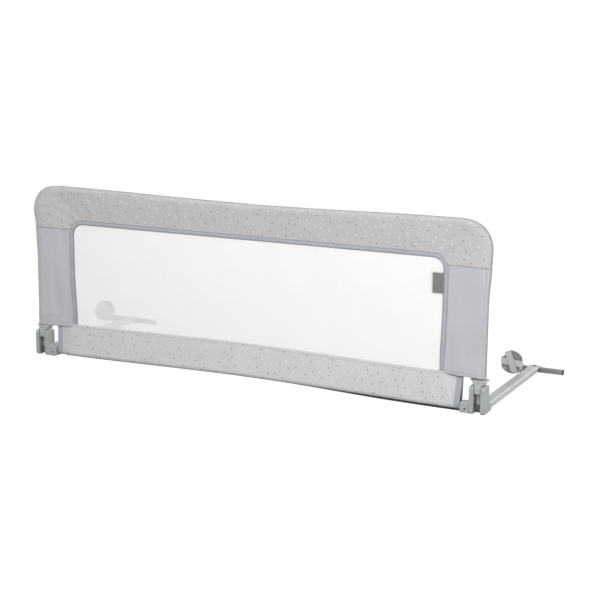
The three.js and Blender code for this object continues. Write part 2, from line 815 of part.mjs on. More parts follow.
// The webbing's middle line: over the disc's front, round its rim and in an arc behind it, each run one
// layer further out, then down to the crossbar and once round it. Places are from the disc's centre.
function strapStations(spot) {
  const stations = [];
  const hub = strapBed;
  const height = (layer) => discHalf + clearance + strapThickness / 2 + layer * strapPitch;
  const add = (point, across) => stations.push({ point, across: across.clone().normalize() });
  const rimTurn = (angle, layer, from, to, steps) => {
    const across = inPlane(angle + (from < to ? -quarter : quarter));
    for (let step = 1; step <= steps; step += 1) {
      const turn = from + (step / steps) * (to - from);
      const out = hub + height(layer) * Math.cos(turn);
      add(inPlane(angle).multiplyScalar(out).setY(height(layer) * Math.sin(turn)), across);
    }
  };
  const backArc = (from, to, layer) => {
    const middle = (from + to) / 2;
    const half = Math.abs(to - from) / 2;
    const side = Math.sign(to - from);
    const centre = inPlane(middle).multiplyScalar(hub / Math.cos(half));
    for (let step = 1; step <= turnSteps; step += 1) {
      const share = step / turnSteps;
      const spoke = inPlane(middle + Math.PI + side * (1 - 2 * share) * (quarter - half));
      const point = centre.clone().addScaledVector(spoke, hub * Math.tan(half));
      add(point.setY(height(layer + share)), spoke.multiplyScalar(side));
    }
  };
  const steep = { start: steepRun, exit: steepRun - Math.PI };
  const flat = { start: levelRun - Math.PI, exit: levelRun };
  const runs = Array.from({ length: strapPasses }, (_, run) => ((strapPasses - run) % 2 ? steep : flat));
  const first = runs[0].start;
  const stub = inPlane(first).multiplyScalar(hub * strapStubShare).setY(height(0));
  add(stub, inPlane(first + quarter));
  add(inPlane(first).multiplyScalar(hub).setY(height(0)), inPlane(first + quarter));
  runs.forEach(({ start, exit }, layer) => {
    rimTurn(start, layer, quarter, -quarter, rimSteps);
    add(inPlane(exit).multiplyScalar(hub).setY(-height(layer)), inPlane(start + quarter));
    const next = runs[layer + 1];
    rimTurn(exit, layer, -quarter, next ? quarter : 0, next ? rimSteps : rimSteps / 2);
    if (next) backArc(exit, next.start, layer);
  });
  for (const { point, across } of stations) {
    point.applyAxisAngle(axisZ, spot.turn);
    across.applyAxisAngle(axisZ, spot.turn);
  }
  return [...stations, ...strapTail(stations.at(-1), spot)];
}

// From the bottom of the disc to the crossbar and round it, levelling out on the way
function strapTail({ point, across }, spot) {
  const stations = [];
  const reach = barSide / 2 + clearance + strapThickness / 2;
  const corner = barCorner + clearance + strapThickness / 2;
  const barAway = spot.offBar;
  const barDrop = barMiddle - spot.height;
  const level = axisX.clone().negate();
  for (let step = 1; step <= tailSteps; step += 1) {
    const share = step / tailSteps;
    const eased = (1 - Math.cos(Math.PI * share)) / 2;
    const y = point.y + share * (barAway - reach - corner - point.y);
    const z = point.z + eased * (barDrop - reach - point.z);
    const turned = across.clone().lerp(level, eased).normalize();
    stations.push({ point: at(point.x * (1 - eased), y, z), across: turned });
  }
  for (const [y, z, from] of [[1, -1, -quarter], [1, 1, 0], [-1, 1, quarter]]) {
    for (let step = 0; step <= cornerSteps; step += 1) {
      const angle = from + (step / cornerSteps) * quarter;
      const outY = y * (reach - corner) + corner * Math.cos(angle);
      const outZ = z * (reach - corner) + corner * Math.sin(angle);
      stations.push({ point: at(0, barAway + outY, barDrop + outZ), across: level });
    }
  }
  stations.push({ point: at(0, barAway - reach, barDrop - reach + loopEndGap), across: level });
  return stations;
}

// Webbing: one unbroken flat band along its stations
function strap(spot) {
  const stations = strapStations(spot);
  const samples = [];
  let along = 0;
  const rings = stations.map(({ point, across }, i) => {
    const before = stations[Math.max(i - 1, 0)].point;
    const after = stations[Math.min(i + 1, stations.length - 1)].point;
    const normal = after.clone().sub(before).cross(across).normalize();
    along += point.distanceTo(before);
    const corners = [[1, 1], [-1, 1], [-1, -1], [1, -1]];
    samples.push(...[-1, -0.5, 0, 0.5, 1].map((share) => ({
      point: point.clone().addScaledVector(across, (share * strapWidth) / 2),
      along,
    })));
    return corners.map(([wide, deep]) =>
      point
        .clone()
        .addScaledVector(across, (wide * strapWidth) / 2)
        .addScaledVector(normal, (deep * strapThickness) / 2));
  });
  const gap = leastSelfGap(samples, 2 * strapWidth, strapThickness);
  console.log(`strap: ${along.toFixed(0)} mm long, least gap to itself ${gap.toFixed(2)} mm`);
  return skin(rings);
}

// Cover: outlines in (x, z)
function windowOutline(half, top, corner, bottom) {
  const outline = new THREE.Shape();
  outline.moveTo(-half, bottom);
  outline.lineTo(half, bottom);
  outline.lineTo(half, top - corner);
  outline.absarc(half - corner, top - corner, corner, 0, quarter);
  outline.absarc(corner - half, top - corner, corner, quarter, 2 * quarter);
  return outline;
}

function coverOutline(bottom) {
  const half = coverLength / 2;
  const outline = new THREE.Shape();
  outline.moveTo(-half, bottom);
  outline.lineTo(half, bottom);
  outline.lineTo(half, coverHeight - topCornerRadius);
  outline.absarc(half - topCornerRadius, coverHeight - topCornerRadius, topCornerRadius, 0, quarter);
  for (let step = 0; step <= 2 * bowSteps; step += 1) {
    const x = (1 - step / bowSteps) * cornerCentre;
    outline.lineTo(x, topEdge(x));
  }
  const left = topCornerRadius - half;
  outline.absarc(left, coverHeight - topCornerRadius, topCornerRadius, quarter, 2 * quarter);
  return outline;
}

// The band over the bottom tube: its top edge is the window's sill, and steps down under the side hems
function bandOutline(half, grow, low) {
  const outline = new THREE.Shape();
  const outer = (z) => half + grow - bandSlant * (1 - z / bandTop);
  const underHem = sideHem - clearance;
  outline.moveTo(-outer(low(half)), low(half));
  for (let step = 1; step < 2 * bowSteps; step += 1) {
    const x = (step / bowSteps - 1) * bottomSpan;
    outline.lineTo(x, low(x));
  }
  outline.lineTo(outer(low(half)), low(half));
  outline.lineTo(outer(underHem), underHem);
  outline.lineTo(panelInner, underHem);
  for (let step = 0; step <= 2 * bowSteps; step += 1) {
    const x = (1 - step / bowSteps) * panelInner;
    outline.lineTo(x, bandEdge(x) + grow);
  }
  outline.lineTo(-panelInner, underHem);
  outline.lineTo(-outer(underHem), underHem);
  return outline;
}

const cloth = (shape) => alongY(thick(shape, clothThickness));
const clearOfSleeve = (x) => bottomAxis(x) + lowerSleeveRadius + clearance;
const windowCutter = () =>
  alongY(thick(
    windowOutline(panelInner + clearance, bindingTop + clearance, bindingCorner + clearance, 0),
    2 * boreRadius,
  ));

function topSleeve() {
  const seam = seamHeight + clearance / 2;
  const path = wholeFrame(seam);
  const body = join(solid(cloth(coverOutline(seam))), pipe(path, sleeveRadius));
  return geometryOf(cut(body, pipe(wholeFrame(seam - overrun), boreRadius), windowCutter()));
}

const legRun = (from, to) => [
  { point: at(legCentre, 0, from), tangent: axisZ },
  { point: at(legCentre, 0, to), tangent: axisZ },
];

const slab = (from, low, high) =>
  solid(block(from, coverLength / 2, -clothThickness / 2, clothThickness / 2, low, high));

function sidePanel() {
  const low = sideHem + hemHeight + clearance;
  const high = seamHeight - clearance / 2;
  const pocket = pipe(legRun(low, pocketTop + sleeveWall), pocketRadius + sleeveWall);
  const panel = slab(panelInner - bindingWidth, low, high);
  const body = join(panel, pipe(legRun(low, high), sleeveRadius), pocket);
  const bore = pipe(legRun(low - overrun, high + overrun), boreRadius);
  const room = pipe(legRun(low - overrun, pocketTop), pocketRadius);
  return geometryOf(cut(body, bore, room, windowCutter()));
}

function panelHem() {
  const high = sideHem + hemHeight;
  const fold = pipe(legRun(sideHem, high), pocketRadius + sleeveWall);
  const body = join(slab(panelInner + clearance, sideHem, high), fold);
  return geometryOf(cut(body, pipe(legRun(sideHem - overrun, high + overrun), pocketRadius)));
}

function windowBinding() {
  const low = bandTop + clearance;
  const outer = windowOutline(panelInner, bindingTop, bindingCorner, low);
  const top = bindingTop - bindingTopWidth;
  const inner = windowOutline(panelInner - bindingWidth, top, windowCorner, low - overrun);
  const ring = solid(alongY(thick(outer, bindingThickness)));
  return geometryOf(cut(ring, alongY(thick(inner, 2 * bindingThickness))));
}

// Window net: a sheet with rows of gaps that keep a strand's width from every edge
function windowNet() {
  const inset = (by) =>
    windowOutline(
      panelInner - bindingWidth - by,
      bindingTop - bindingTopWidth - by,
      windowCorner - by,
      bandTop,
    );
  const sheet = solid(alongY(thick(inset(clearance), netThickness)));
  const low = bandTop;
  const half = panelInner - bindingWidth - clearance;
  const wide = (2 * half - netStrand) / netColumns;
  const tall = (bindingTop - bindingTopWidth - clearance - netStrand - low) / netRows;
  const gaps = [];
  for (let column = 0; column < netColumns; column += 1) {
    for (let row = 0; row < netRows; row += 1) {
      const x = -half + netStrand + column * wide;
      const z = low + row * tall;
      gaps.push(block(x, x + wide - netStrand, -netThickness, netThickness, z + netStrand, z + tall));
    }
  }
  const reach = solid(alongY(thick(inset(clearance + netStrand), 2 * netThickness)));
  const sill = (grow) =>
    alongY(thick(bandOutline(bandHalfLength, grow, () => hingeHeight), 2 * netThickness + overrun));
  const holes = cut(solid(mergeGeometries(gaps)).intersect(reach), sill(clearance + netStrand));
  return geometryOf(cut(sheet.subtract(holes), sill(clearance)));
}

function bandEnds(fromHalf, toHalf) {
  const high = sideHem - clearance;
  const slant = (x, z) => x - bandSlant * (1 - z / bandTop);
  const low = clearOfSleeve(bottomSpan);
  const strip = new THREE.Shape();
  strip.moveTo(slant(fromHalf, low), low);
  strip.lineTo(slant(toHalf, low), low);
  strip.lineTo(slant(toHalf, high), high);
  strip.lineTo(slant(fromHalf, high), high);
  return cloth(strip);
}

function lowerBand() {
  return cloth(bandOutline(bandHalfLength - bandEndStrip - clearance, 0, clearOfSleeve));
}

function lowerSleeve() {
  const path = bottomRun(-lowerSleeveHalf, lowerSleeveHalf, 2 * bowSteps);
  const bore = bottomRun(-lowerSleeveHalf - overrun, lowerSleeveHalf + overrun, 2 * bowSteps);
  return geometryOf(cut(solid(pipe(path, lowerSleeveRadius)), pipe(bore, boreRadius)));
}

function bottomTube() {
  const tube = solid(pipe(bottomRun(clearance / 2, tubeEnd, bowSteps), tubeRadius, tubeRadius - tubeWall));
  const hole = rod('y', lugScrewRadius + clearance, -tubeRadius - overrun, 0, boltSides);
  return geometryOf(cut(tube, hole.translate(legCentre - lugScrewInset, 0, hingeHeight - lugScrewDrop)));
}

function stopRing() {
  const ringTop = ringBottom + stopRingHeight;
  const ring = solid(rod('z', stopRingRadius, ringBottom, ringTop, tubeSides));
  return geometryOf(cut(ring, rod('z', boreRadius, springBottom, ringTop + overrun, tubeSides)));
}

// Assembly: each piece is a mesh, and each side's pieces stand in groups at their bracket, arm and disc
const rail = new THREE.Group();
const model = new THREE.Group();
rail.add(model);

function place(parent, name, geometry, look) {
  const mesh = new THREE.Mesh(geometry, looks[look]());
  mesh.name = name;
  parent.add(mesh);
  return mesh;
}

const frameHalf = () => {
  const legBottom = hingeHeight + knuckleTop + clearance;
  return pipe(halfFrame(legBottom, clearance / 2), tubeRadius, tubeRadius - tubeWall);
};
const ferrule = () => rod('x', plugRadius, -ferruleLength / 2, ferruleLength / 2, tubeSides);

place(model, 'frame_ferrule', ferrule(), 'steel').position.z = topTubeHeight - topSag;
place(model, 'bottom_ferrule', ferrule(), 'steel').position.z = hingeHeight + bottomRise;
place(model, 'top_sleeve', topSleeve(), 'dotted');
place(model, 'window_binding', windowBinding(), 'binding');
place(model, 'window_net', windowNet(), 'net');
place(model, 'lower_band', lowerBand(), 'dotted');
place(model, 'lower_sleeve', lowerSleeve(), 'dotted');

const labelRight = panelInner - bindingWidth - clearance;
const labelBack = -netThickness / 2 - clearance;
const labelTop = bindingTop - labelDrop;
const label = block(
  labelRight - labelWidth, labelRight,
  labelBack - labelThickness, labelBack,
  labelTop - labelHeight, labelTop,
);
place(model, 'label_tab', label, 'label');

for (const [side, sign] of [['right', 1], ['left', -1]]) {
  const handed = (geometry) => (sign > 0 ? geometry : mirrored(geometry));
  const add = (parent, name, geometry, look) => place(parent, `${name}_${side}`, handed(geometry), look);

  add(model, 'frame', frameHalf(), 'paint');
  add(model, 'bottom_tube', bottomTube(), 'paint');
  add(model, 'side_panel', sidePanel(), 'plain');
  add(model, 'panel_hem', panelHem(), 'plain');
  add(model, 'band_end_binding', bandEnds(bandHalfLength - bandEndStrip, bandHalfLength), 'binding');

  const corner = new THREE.Group();
  corner.position.set(sign * legCentre, 0, hingeHeight);
  model.add(corner);
  add(corner, 'bracket_outer', geometryOf(outerHalf()), 'bracket');
  add(corner, 'bracket_inner', geometryOf(innerHalf()), 'bracket');
  add(corner, 'hinge_pin', rod('x', pinRadius, -pinReach, pinReach, boltSides), 'steel');
  add(corner, 'leg_foot', legFoot(), 'foot');
  add(corner, 'latch_collar', latchCollar(), 'collar');
  add(corner, 'latch_spring', latchSpring(springBottom), 'steel');
  add(corner, 'spring_stop', stopRing(), 'foot');
  add(corner, 'lug_screw', lugScrew(), 'steel').position.set(-sign * lugScrewInset, 0, -lugScrewDrop);
  clamScrewHeights.forEach((height, i) => {
    const name = i ? 'bracket_screw_upper' : 'bracket_screw_lower';
    add(corner, name, clamScrew(), 'steel').position.set(0, clamScrewBehind, height);
  });

  const arm = new THREE.Group();
  arm.position.x = sign * (legCentre + armOffset);
  model.add(arm);
  add(arm, 'arm', armTube(), 'paint');
  const socket = new THREE.Group();
  socket.position.set(0, 0, armMiddle);
  arm.add(socket);
  add(socket, 'arm_button', snapButton(), 'steel').position.y = buttonBehind;
  add(socket, 'button_spring', buttonSpring(), 'steel');
  add(arm, 'crossbar_rivet', rivet(), 'steel').position.y = barY;

  const bar = new THREE.Group();
  bar.position.set(0, barY, barMiddle);
  arm.add(bar);
  add(bar, 'crossbar', crossbar(), 'bar');
  place(bar, `bar_cap_right_${side}`, barCap(), 'cap');
  place(bar, `bar_cap_left_${side}`, mirrored(barCap()), 'cap');

  const spot = discSpots[side];
  const disc = new THREE.Group();
  disc.position.set(-spot.offArm, barY - spot.offBar, spot.height);
  arm.add(disc);
  place(disc, `strap_disc_${side}`, strapDisc(), 'disc').rotation.z = spot.turn;
  place(disc, `strap_${side}`, strap(spot), 'webbing');
}

// The origin is under the middle of the whole rail
model.position.y = (bracketFront - barY - capSide / 2) / 2;

export default rail;
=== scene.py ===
# %% [markdown]
# This lesson dresses a folding bed guard rail: a fabric cover with a net window on a tube frame,
# which folds down on two moulded brackets whose arms lie under the mattress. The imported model
# holds every piece's place and size, and the lesson builds cloth, mouldings and finishes on it.
# Blender works in metres, so one name turns a drawing's millimetres into Blender's own unit.

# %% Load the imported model
import json
import math

import bmesh
import bpy
import numpy as np
from mathutils import Matrix, Vector, noise


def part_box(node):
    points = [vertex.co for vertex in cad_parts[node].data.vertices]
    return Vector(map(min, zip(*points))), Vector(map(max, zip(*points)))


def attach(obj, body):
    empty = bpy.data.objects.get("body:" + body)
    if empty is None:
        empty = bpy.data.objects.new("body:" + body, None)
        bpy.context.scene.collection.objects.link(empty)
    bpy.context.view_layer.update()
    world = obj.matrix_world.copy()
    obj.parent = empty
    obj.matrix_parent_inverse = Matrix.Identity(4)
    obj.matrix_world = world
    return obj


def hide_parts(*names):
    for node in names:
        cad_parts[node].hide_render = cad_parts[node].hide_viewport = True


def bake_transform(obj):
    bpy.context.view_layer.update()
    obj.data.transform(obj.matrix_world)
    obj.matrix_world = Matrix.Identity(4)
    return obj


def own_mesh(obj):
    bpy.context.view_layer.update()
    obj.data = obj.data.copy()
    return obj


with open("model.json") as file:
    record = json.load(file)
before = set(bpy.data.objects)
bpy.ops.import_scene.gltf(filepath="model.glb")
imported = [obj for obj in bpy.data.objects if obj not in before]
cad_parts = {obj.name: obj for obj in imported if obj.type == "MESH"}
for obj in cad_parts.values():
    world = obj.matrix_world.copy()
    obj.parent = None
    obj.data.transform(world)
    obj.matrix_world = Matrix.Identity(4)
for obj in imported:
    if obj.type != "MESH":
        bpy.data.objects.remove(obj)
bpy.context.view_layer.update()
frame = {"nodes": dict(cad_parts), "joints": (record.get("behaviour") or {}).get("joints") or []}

mm = 0.001
sides = {"right": 1, "left": -1}
joints = {joint["name"]: joint for joint in frame["joints"]}
hinge = Vector(joints["guard_fold"]["pos_m"])

# %% [markdown]
# The photograph was taken from the front and a little to the right with a long lens. A camera
# could be placed by eye, but then every outline would lie a little off. This one's place and
# angles come from fitting the rail's known lengths to the picture, and its three axes follow.

# %% Camera
turn, tilt, roll = math.radians(25.9164), math.radians(11.7996), math.radians(0.5742)
camera_place = (1.574757, -3.155228, 0.898733)
focal_length, sensor_width = 86.372, 36
ahead = Vector((-math.sin(turn) * math.cos(tilt), math.cos(turn) * math.cos(tilt), -math.sin(tilt)))
level = Vector((math.cos(turn), math.sin(turn), 0))
right = math.cos(roll) * level + math.sin(roll) * level.cross(ahead)
upward = right.cross(ahead)
lens = bpy.data.cameras.new("camera")
lens.lens, lens.sensor_width = focal_length, sensor_width
camera = bpy.data.objects.new("camera", lens)
axes = Matrix((right, upward, -ahead)).transposed().to_4x4()
camera.matrix_world = Matrix.Translation(camera_place) @ axes
bpy.context.scene.collection.objects.link(camera)
bpy.context.scene.camera = camera
bpy.context.scene.view_settings.view_transform = "Standard"
print("camera at", tuple(round(v, 3) for v in camera.location), "lens", round(lens.lens, 1), "mm")

# %% [markdown]
# Materials and lights are trees of nodes. They could be drawn by hand in the shader editor, but a
# script is easier to read and repeat. One helper adds a node and fills its sockets with numbers
# or with other nodes' results, and the others do arithmetic with it.


# %% Helpers for nodes
def fill(tree, made, sockets):
    """Sets a node's sockets: a plain value is stored there, another node's result is linked."""
    for name, value in sockets.items():
        if isinstance(value, bpy.types.NodeSocket):
            tree.links.new(value, made.inputs[name])
        else:
            made.inputs[name].default_value = value
    return made


def node(tree, kind, sockets=None, **settings):
    made = tree.nodes.new("ShaderNode" + kind)
    for name, value in settings.items():
        setattr(made, name, value)
    return fill(tree, made, sockets or {})


def calculate(tree, operation, *values, clamp=False):
    places = dict(enumerate(values))
    return node(tree, "Math", places, operation=operation, use_clamp=clamp).outputs[0]


def times(tree, first, second, *plus, clamp=False):
    """first x second, and plus a third value if there is one."""
    operation = "MULTIPLY_ADD" if plus else "MULTIPLY"
    return calculate(tree, operation, first, second, *plus, clamp=clamp)


def minus(tree, first, second, clamp=False):
    return calculate(tree, "SUBTRACT", first, second, clamp=clamp)


def vector_math(tree, operation, *values, result="Vector", **sockets):
    places = {**dict(enumerate(values)), **sockets}
    return node(tree, "VectorMath", places, operation=operation).outputs[result]


# %% [markdown]
# In the photograph the rail stands before plain white. A white world alone would light it from
# all round and wash out its folds. So the world is white only to the camera and to mirrors, and
# its light on the rail is weaker, and weaker still towards the back. Round forms then turn darker
# at their edges.


# %% World
def seen_directly(tree):
    """1 for the rays of the camera and of mirrors, 0 for those that only carry light."""
    path = node(tree, "LightPath")
    seen = calculate(tree, "MAXIMUM", path.outputs["Is Camera Ray"], path.outputs["Is Glossy Ray"])
    return calculate(tree, "MAXIMUM", seen, path.outputs["Is Transmission Ray"])


white = (1, 1, 1, 1)
tent_light, backward_change = 0.27, -0.1
world = bpy.data.worlds.new("white_tent")
world.use_nodes = True
tree = world.node_tree
tree.nodes.clear()
direction = node(tree, "SeparateXYZ", {0: node(tree, "TexCoord").outputs["Generated"]})
soft_light = times(tree, direction.outputs[1], backward_change, tent_light)
strength = calculate(tree, "MAXIMUM", seen_directly(tree), soft_light)
tent = node(tree, "Background", {"Color": white, "Strength": strength})
node(tree, "OutputWorld", {"Surface": tent.outputs[0]})
bpy.context.scene.world = world
print("world:", world.name)

# %% [markdown]
# The floor is a large white sheet that catches the rail's faint shadow. A plainly painted floor
# would look grey, and a hidden one would have no shadow. This one shows the camera mostly light
# of its own and a share of pale paint, and further from the rail the paint fades out, so that no
# horizon shows.

# %% Floor
floor_reach, floor_drop = 60, 0.4 * mm
floor_paint = (0.6, 0.6, 0.6, 1)
fade_from, fade_to = 0.9, 2.4
near_share, near_glow = 0.72, 1.27
corners = [(x * floor_reach, y * floor_reach, -floor_drop) for x, y in ((-1, -1), (1, -1), (1, 1), (-1, 1))]
floor_mesh = bpy.data.meshes.new("floor")
floor_mesh.from_pydata(corners, [], [(0, 1, 2, 3)])
floor = bpy.data.objects.new("floor", floor_mesh)
bpy.context.scene.collection.objects.link(floor)
pale = bpy.data.materials.new("pale_floor")
pale.use_nodes = True
tree = pale.node_tree
tree.nodes.clear()
away = vector_math(tree, "LENGTH", node(tree, "TexCoord").outputs["Object"], result="Value")
far = node(tree, "MapRange", {"Value": away, "From Min": fade_from, "From Max": fade_to}).outputs[0]
share = times(tree, seen_directly(tree), times(tree, far, 1 - near_share, near_share))
glow = node(tree, "Emission", {"Color": white, "Strength": times(tree, far, 1 - near_glow, near_glow)})
paint = node(tree, "BsdfDiffuse", {"Color": floor_paint})
both = node(tree, "MixShader", {0: share, 1: paint.outputs[0], 2: glow.outputs[0]})
node(tree, "OutputMaterial", {"Surface": both.outputs[0]})
floor_mesh.materials.append(pale)
print("floor:", floor.name)

# %% [markdown]
# Soft folds only show under light that comes from somewhere. Small lamps would draw hard shadows,
# so these are large discs, as a studio's soft boxes are. The key lamp stands in front and above,
# so that the tube under the cloth catches a highlight just below its top. One from the right
# reaches past the cover to the disc and the arm, and one from the left evens out the near side.
# Two behind light the cover's back; the lower one is kept out of mirrors, where it would glare.

# %% Lamps
lamps = {
    "key_lamp": ((0.25, -1.55, 1.45), (0.15, -0.2, 0.3), 1.1, 15),
    "side_lamp": ((2.0, -1.1, 0.9), (0.6, 0.1, 0.05), 0.9, 18),
    "left_lamp": ((-0.8, -1.4, 1.9), (-0.2, -0.2, 0.3), 1.0, 15),
    "back_lamp": ((1.0, 2.2, 1.7), (0, 0.1, 0.1), 1.8, 22),
    "low_back_lamp": ((0.9, 2.6, 0.7), (0, -0.2, 0.25), 1.2, 26),
}
for name, (place, aim, size, watts) in lamps.items():
    light = bpy.data.lights.new(name, "AREA")
    light.shape, light.size, light.energy = "DISK", size, watts
    lamp = bpy.data.objects.new(name, light)
    lamp.location = place
    lamp.rotation_euler = (Vector(aim) - Vector(place)).to_track_quat("-Z", "Y").to_euler()
    lamp.visible_glossy = name != "low_back_lamp"
    bpy.context.scene.collection.objects.link(lamp)
print("lamps:", sorted(lamps))

# %% [markdown]
# Several finishes share the same effects: threads, printed specks, soft unevenness, moulded
# grain, worn edges and rows of stitches. They could be copied into every material, but then a
# change would have to be made many times. Each is a node group instead, built once. A group takes
# a place on the surface and gives back masks and heights, and each material sets its own values.


# %% Helpers for node groups
def new_group(name, inputs, outputs):
    """An empty group, with the sockets that it reads from and those that it writes to."""
    group = bpy.data.node_groups.new(name, "ShaderNodeTree")
    for title, kind, value in inputs:
        socket = group.interface.new_socket(title, in_out="INPUT", socket_type="NodeSocket" + kind)
        if value is not None:
            socket.default_value = value
    for title in outputs:
        group.interface.new_socket(title, in_out="OUTPUT", socket_type="NodeSocketFloat")
    start = group.nodes.new("NodeGroupInput")
    end = group.nodes.new("NodeGroupOutput")
    return group, start.outputs, end.inputs


def use_group(tree, group, sockets):
    made = tree.nodes.new("ShaderNodeGroup")
    made.node_tree = group
    return fill(tree, made, sockets).outputs


# %% [markdown]
# Woven cloth is a field of small bumps where one thread crosses over another. An image of cloth
# would blur near by and repeat far off, and two sine waves multiplied together do neither. A
# stretched noise along each direction adds the thicker and thinner threads of real cloth.

# %% Woven threads
threads, given, result = new_group(
    "woven_threads",
    [("Place", "Vector", None), ("Threads", "Float", 1400.0), ("Slub", "Float", 0.5)],
    ["Height", "Shade"],
)
slub_stretches = ((60, 900, 1), (900, 60, 1))
height_share, shade_share = 0.5, 0.2
parts = node(threads, "SeparateXYZ", {0: given["Place"]})
rate = times(threads, given["Threads"], math.pi)
across, along = (calculate(threads, "SINE", times(threads, parts.outputs[i], rate)) for i in (0, 1))
field = times(threads, across, along)
slubs = []
for stretch in slub_stretches:
    stretched = vector_math(threads, "MULTIPLY", given["Place"], stretch)
    grain = node(threads, "TexNoise", {"Vector": stretched, "Scale": 1.0, "Detail": 2.0})
    slubs.append(grain.outputs["Fac"])
uneven = minus(threads, calculate(threads, "ADD", *slubs), 1.0)
for title, share in (("Height", height_share), ("Shade", shade_share)):
    even = times(threads, field, share, 0.5)
    threads.links.new(times(threads, uneven, given["Slub"], even), result[title])

# %% [markdown]
# The cloth is printed with small specks: pale round dots and short dark strokes. They could be
# painted on an image, but the print has to stay sharp and follow the cloth round the tube. So one
# speck sits in each cell of a slanted grid, moved and turned by a random amount. White noise
# gives every cell its own fixed numbers, and the print is the same in each render.

# %% Printed specks
specks, given, result = new_group(
    "printed_specks",
    [("Place", "Vector", None), ("Cell", "Float", 0.02), ("Dot", "Float", 0.0019)],
    ["Pale", "Dark"],
)
slant, free_room, nearest_edge, spin_range, pale_share = 0.35, (0.4, 0.4, 0), (0.3, 0.3, 0), 40.0, 0.6
slanted = node(specks, "VectorRotate", {"Vector": given["Place"], "Angle": slant}, rotation_type="Z_AXIS")
scale = calculate(specks, "DIVIDE", 1.0, given["Cell"])
grid = vector_math(specks, "SCALE", slanted.outputs[0], Scale=scale)
cell = vector_math(specks, "FLOOR", grid)
inside = vector_math(specks, "SUBTRACT", grid, cell)
chance = node(specks, "TexWhiteNoise", {"Vector": cell}, noise_dimensions="3D")
speck_place = vector_math(specks, "MULTIPLY_ADD", chance.outputs["Color"], free_room, nearest_edge)
flat = vector_math(specks, "MULTIPLY", vector_math(specks, "SUBTRACT", inside, speck_place), (1, 1, 0))
angle = times(specks, chance.outputs["Value"], spin_range)
spun = node(specks, "VectorRotate", {"Vector": flat, "Angle": angle}, rotation_type="Z_AXIS")
radius = calculate(specks, "DIVIDE", given["Dot"], given["Cell"])
lots = node(specks, "SeparateColor", {0: chance.outputs["Color"]})
dark_lot = calculate(specks, "GREATER_THAN", lots.outputs[2], pale_share)
pale_lot = minus(specks, 1.0, dark_lot)
for title, stretch, heart_share, lot in (("Pale", (0.62, 0.62, 0), 0.2, pale_lot),
                                         ("Dark", (0.72, 1.2, 0), 0.5, dark_lot)):
    shaped = vector_math(specks, "MULTIPLY", spun.outputs[0], stretch)
    length = vector_math(specks, "LENGTH", shaped, result="Value")
    heart = times(specks, radius, heart_share)
    near = node(specks, "MapRange", {"Value": length, "From Min": radius, "From Max": heart})
    specks.links.new(times(specks, near.outputs[0], lot), result[title])

# %% [markdown]
# Nothing real is one even colour. A photograph of dirt would show its own shapes, so a soft noise
# at two sizes tints the surface a little, and lifts the roughness here and there as handling and
# dust do. Moulded plastic has a pebbled grain over a slow swell, and its edges are rubbed paler
# where the surface bends outward.

# %% Soft unevenness, moulded grain and worn edges
mottle, given, result = new_group(
    "soft_mottle", [("Place", "Vector", None), ("Size", "Float", 30.0)], ["Tint", "Fine"]
)
fine_times = 9.0
fine_size = times(mottle, given["Size"], fine_times)
for title, size, detail in (("Tint", given["Size"], 3.0), ("Fine", fine_size, 2.0)):
    cloud = node(mottle, "TexNoise", {"Vector": given["Place"], "Scale": size, "Detail": detail})
    mottle.links.new(cloud.outputs["Fac"], result[title])

grain_group, given, result = new_group(
    "moulded_grain", [("Place", "Vector", None), ("Size", "Float", 1800.0)], ["Height"]
)
pebble_share, swell_scale = 0.5, 220.0
pebble = node(grain_group, "TexVoronoi", {"Vector": given["Place"], "Scale": given["Size"]},
              feature="SMOOTH_F1")
swell = node(grain_group, "TexNoise", {"Vector": given["Place"], "Scale": swell_scale, "Detail": 3.0})
pebbled = times(grain_group, pebble.outputs["Distance"], pebble_share, swell.outputs["Fac"])
grain_group.links.new(pebbled, result["Height"])

wear, given, result = new_group(
    "edge_wear", [("Place", "Vector", None), ("Reach", "Float", 0.06)], ["Mask"]
)
patch_scale, rub_strength = 260.0, 1.6
patchy = node(wear, "TexNoise", {"Vector": given["Place"], "Scale": patch_scale, "Detail": 4.0})
edge = minus(wear, node(wear, "NewGeometry").outputs["Pointiness"], 0.5)
broken = times(wear, calculate(wear, "DIVIDE", edge, given["Reach"]), patchy.outputs["Fac"])
wear.links.new(times(wear, broken, rub_strength, clamp=True), result["Mask"])

# %% [markdown]
# A row of lockstitch is a dashed line a fixed way in from an edge. Stitches could be thousands of
# small tubes, but at this distance a raised mask reads the same. The surface carries its real
# length and width in its UV map, so the group only asks how far a point is from the row, and
# where it lies in the repeating stitch and gap. The cloth sinks a little on both sides.

# %% Rows of stitches
stitches, given, result = new_group(
    "stitch_row",
    [("Place", "Vector", None), ("Row", "Float", 0.002), ("Pitch", "Float", 0.0032),
     ("Width", "Float", 0.0006)],
    ["Mask", "Height"],
)
half_stitch_share, groove_width, groove_depth_share = 0.38, 1.6 * mm, -0.6
parts = node(stitches, "SeparateXYZ", {0: given["Place"]})
apart = calculate(stitches, "ABSOLUTE", minus(stitches, parts.outputs[1], given["Row"]))
repeat = calculate(stitches, "FRACT", calculate(stitches, "DIVIDE", parts.outputs[0], given["Pitch"]))
middle = calculate(stitches, "ABSOLUTE", minus(stitches, repeat, 0.5))
on = calculate(stitches, "LESS_THAN", middle, half_stitch_share)
half = times(stitches, given["Width"], 0.5)
bead, groove = (minus(stitches, 1.0, calculate(stitches, "DIVIDE", apart, width), clamp=True)
                for width in (half, groove_width))
thread = times(stitches, bead, on)
stitches.links.new(thread, result["Mask"])
stitches.links.new(times(stitches, groove, groove_depth_share, thread), result["Height"])
print("node groups:", sorted(g.name for g in bpy.data.node_groups))

# %% [markdown]
# Each finish starts from one Principled shader, which knows cloth, plastic, paint and metal alike.
# Constant numbers go straight into its sockets, and anything that changes over the surface
# arrives through Base Color, Roughness or Normal.


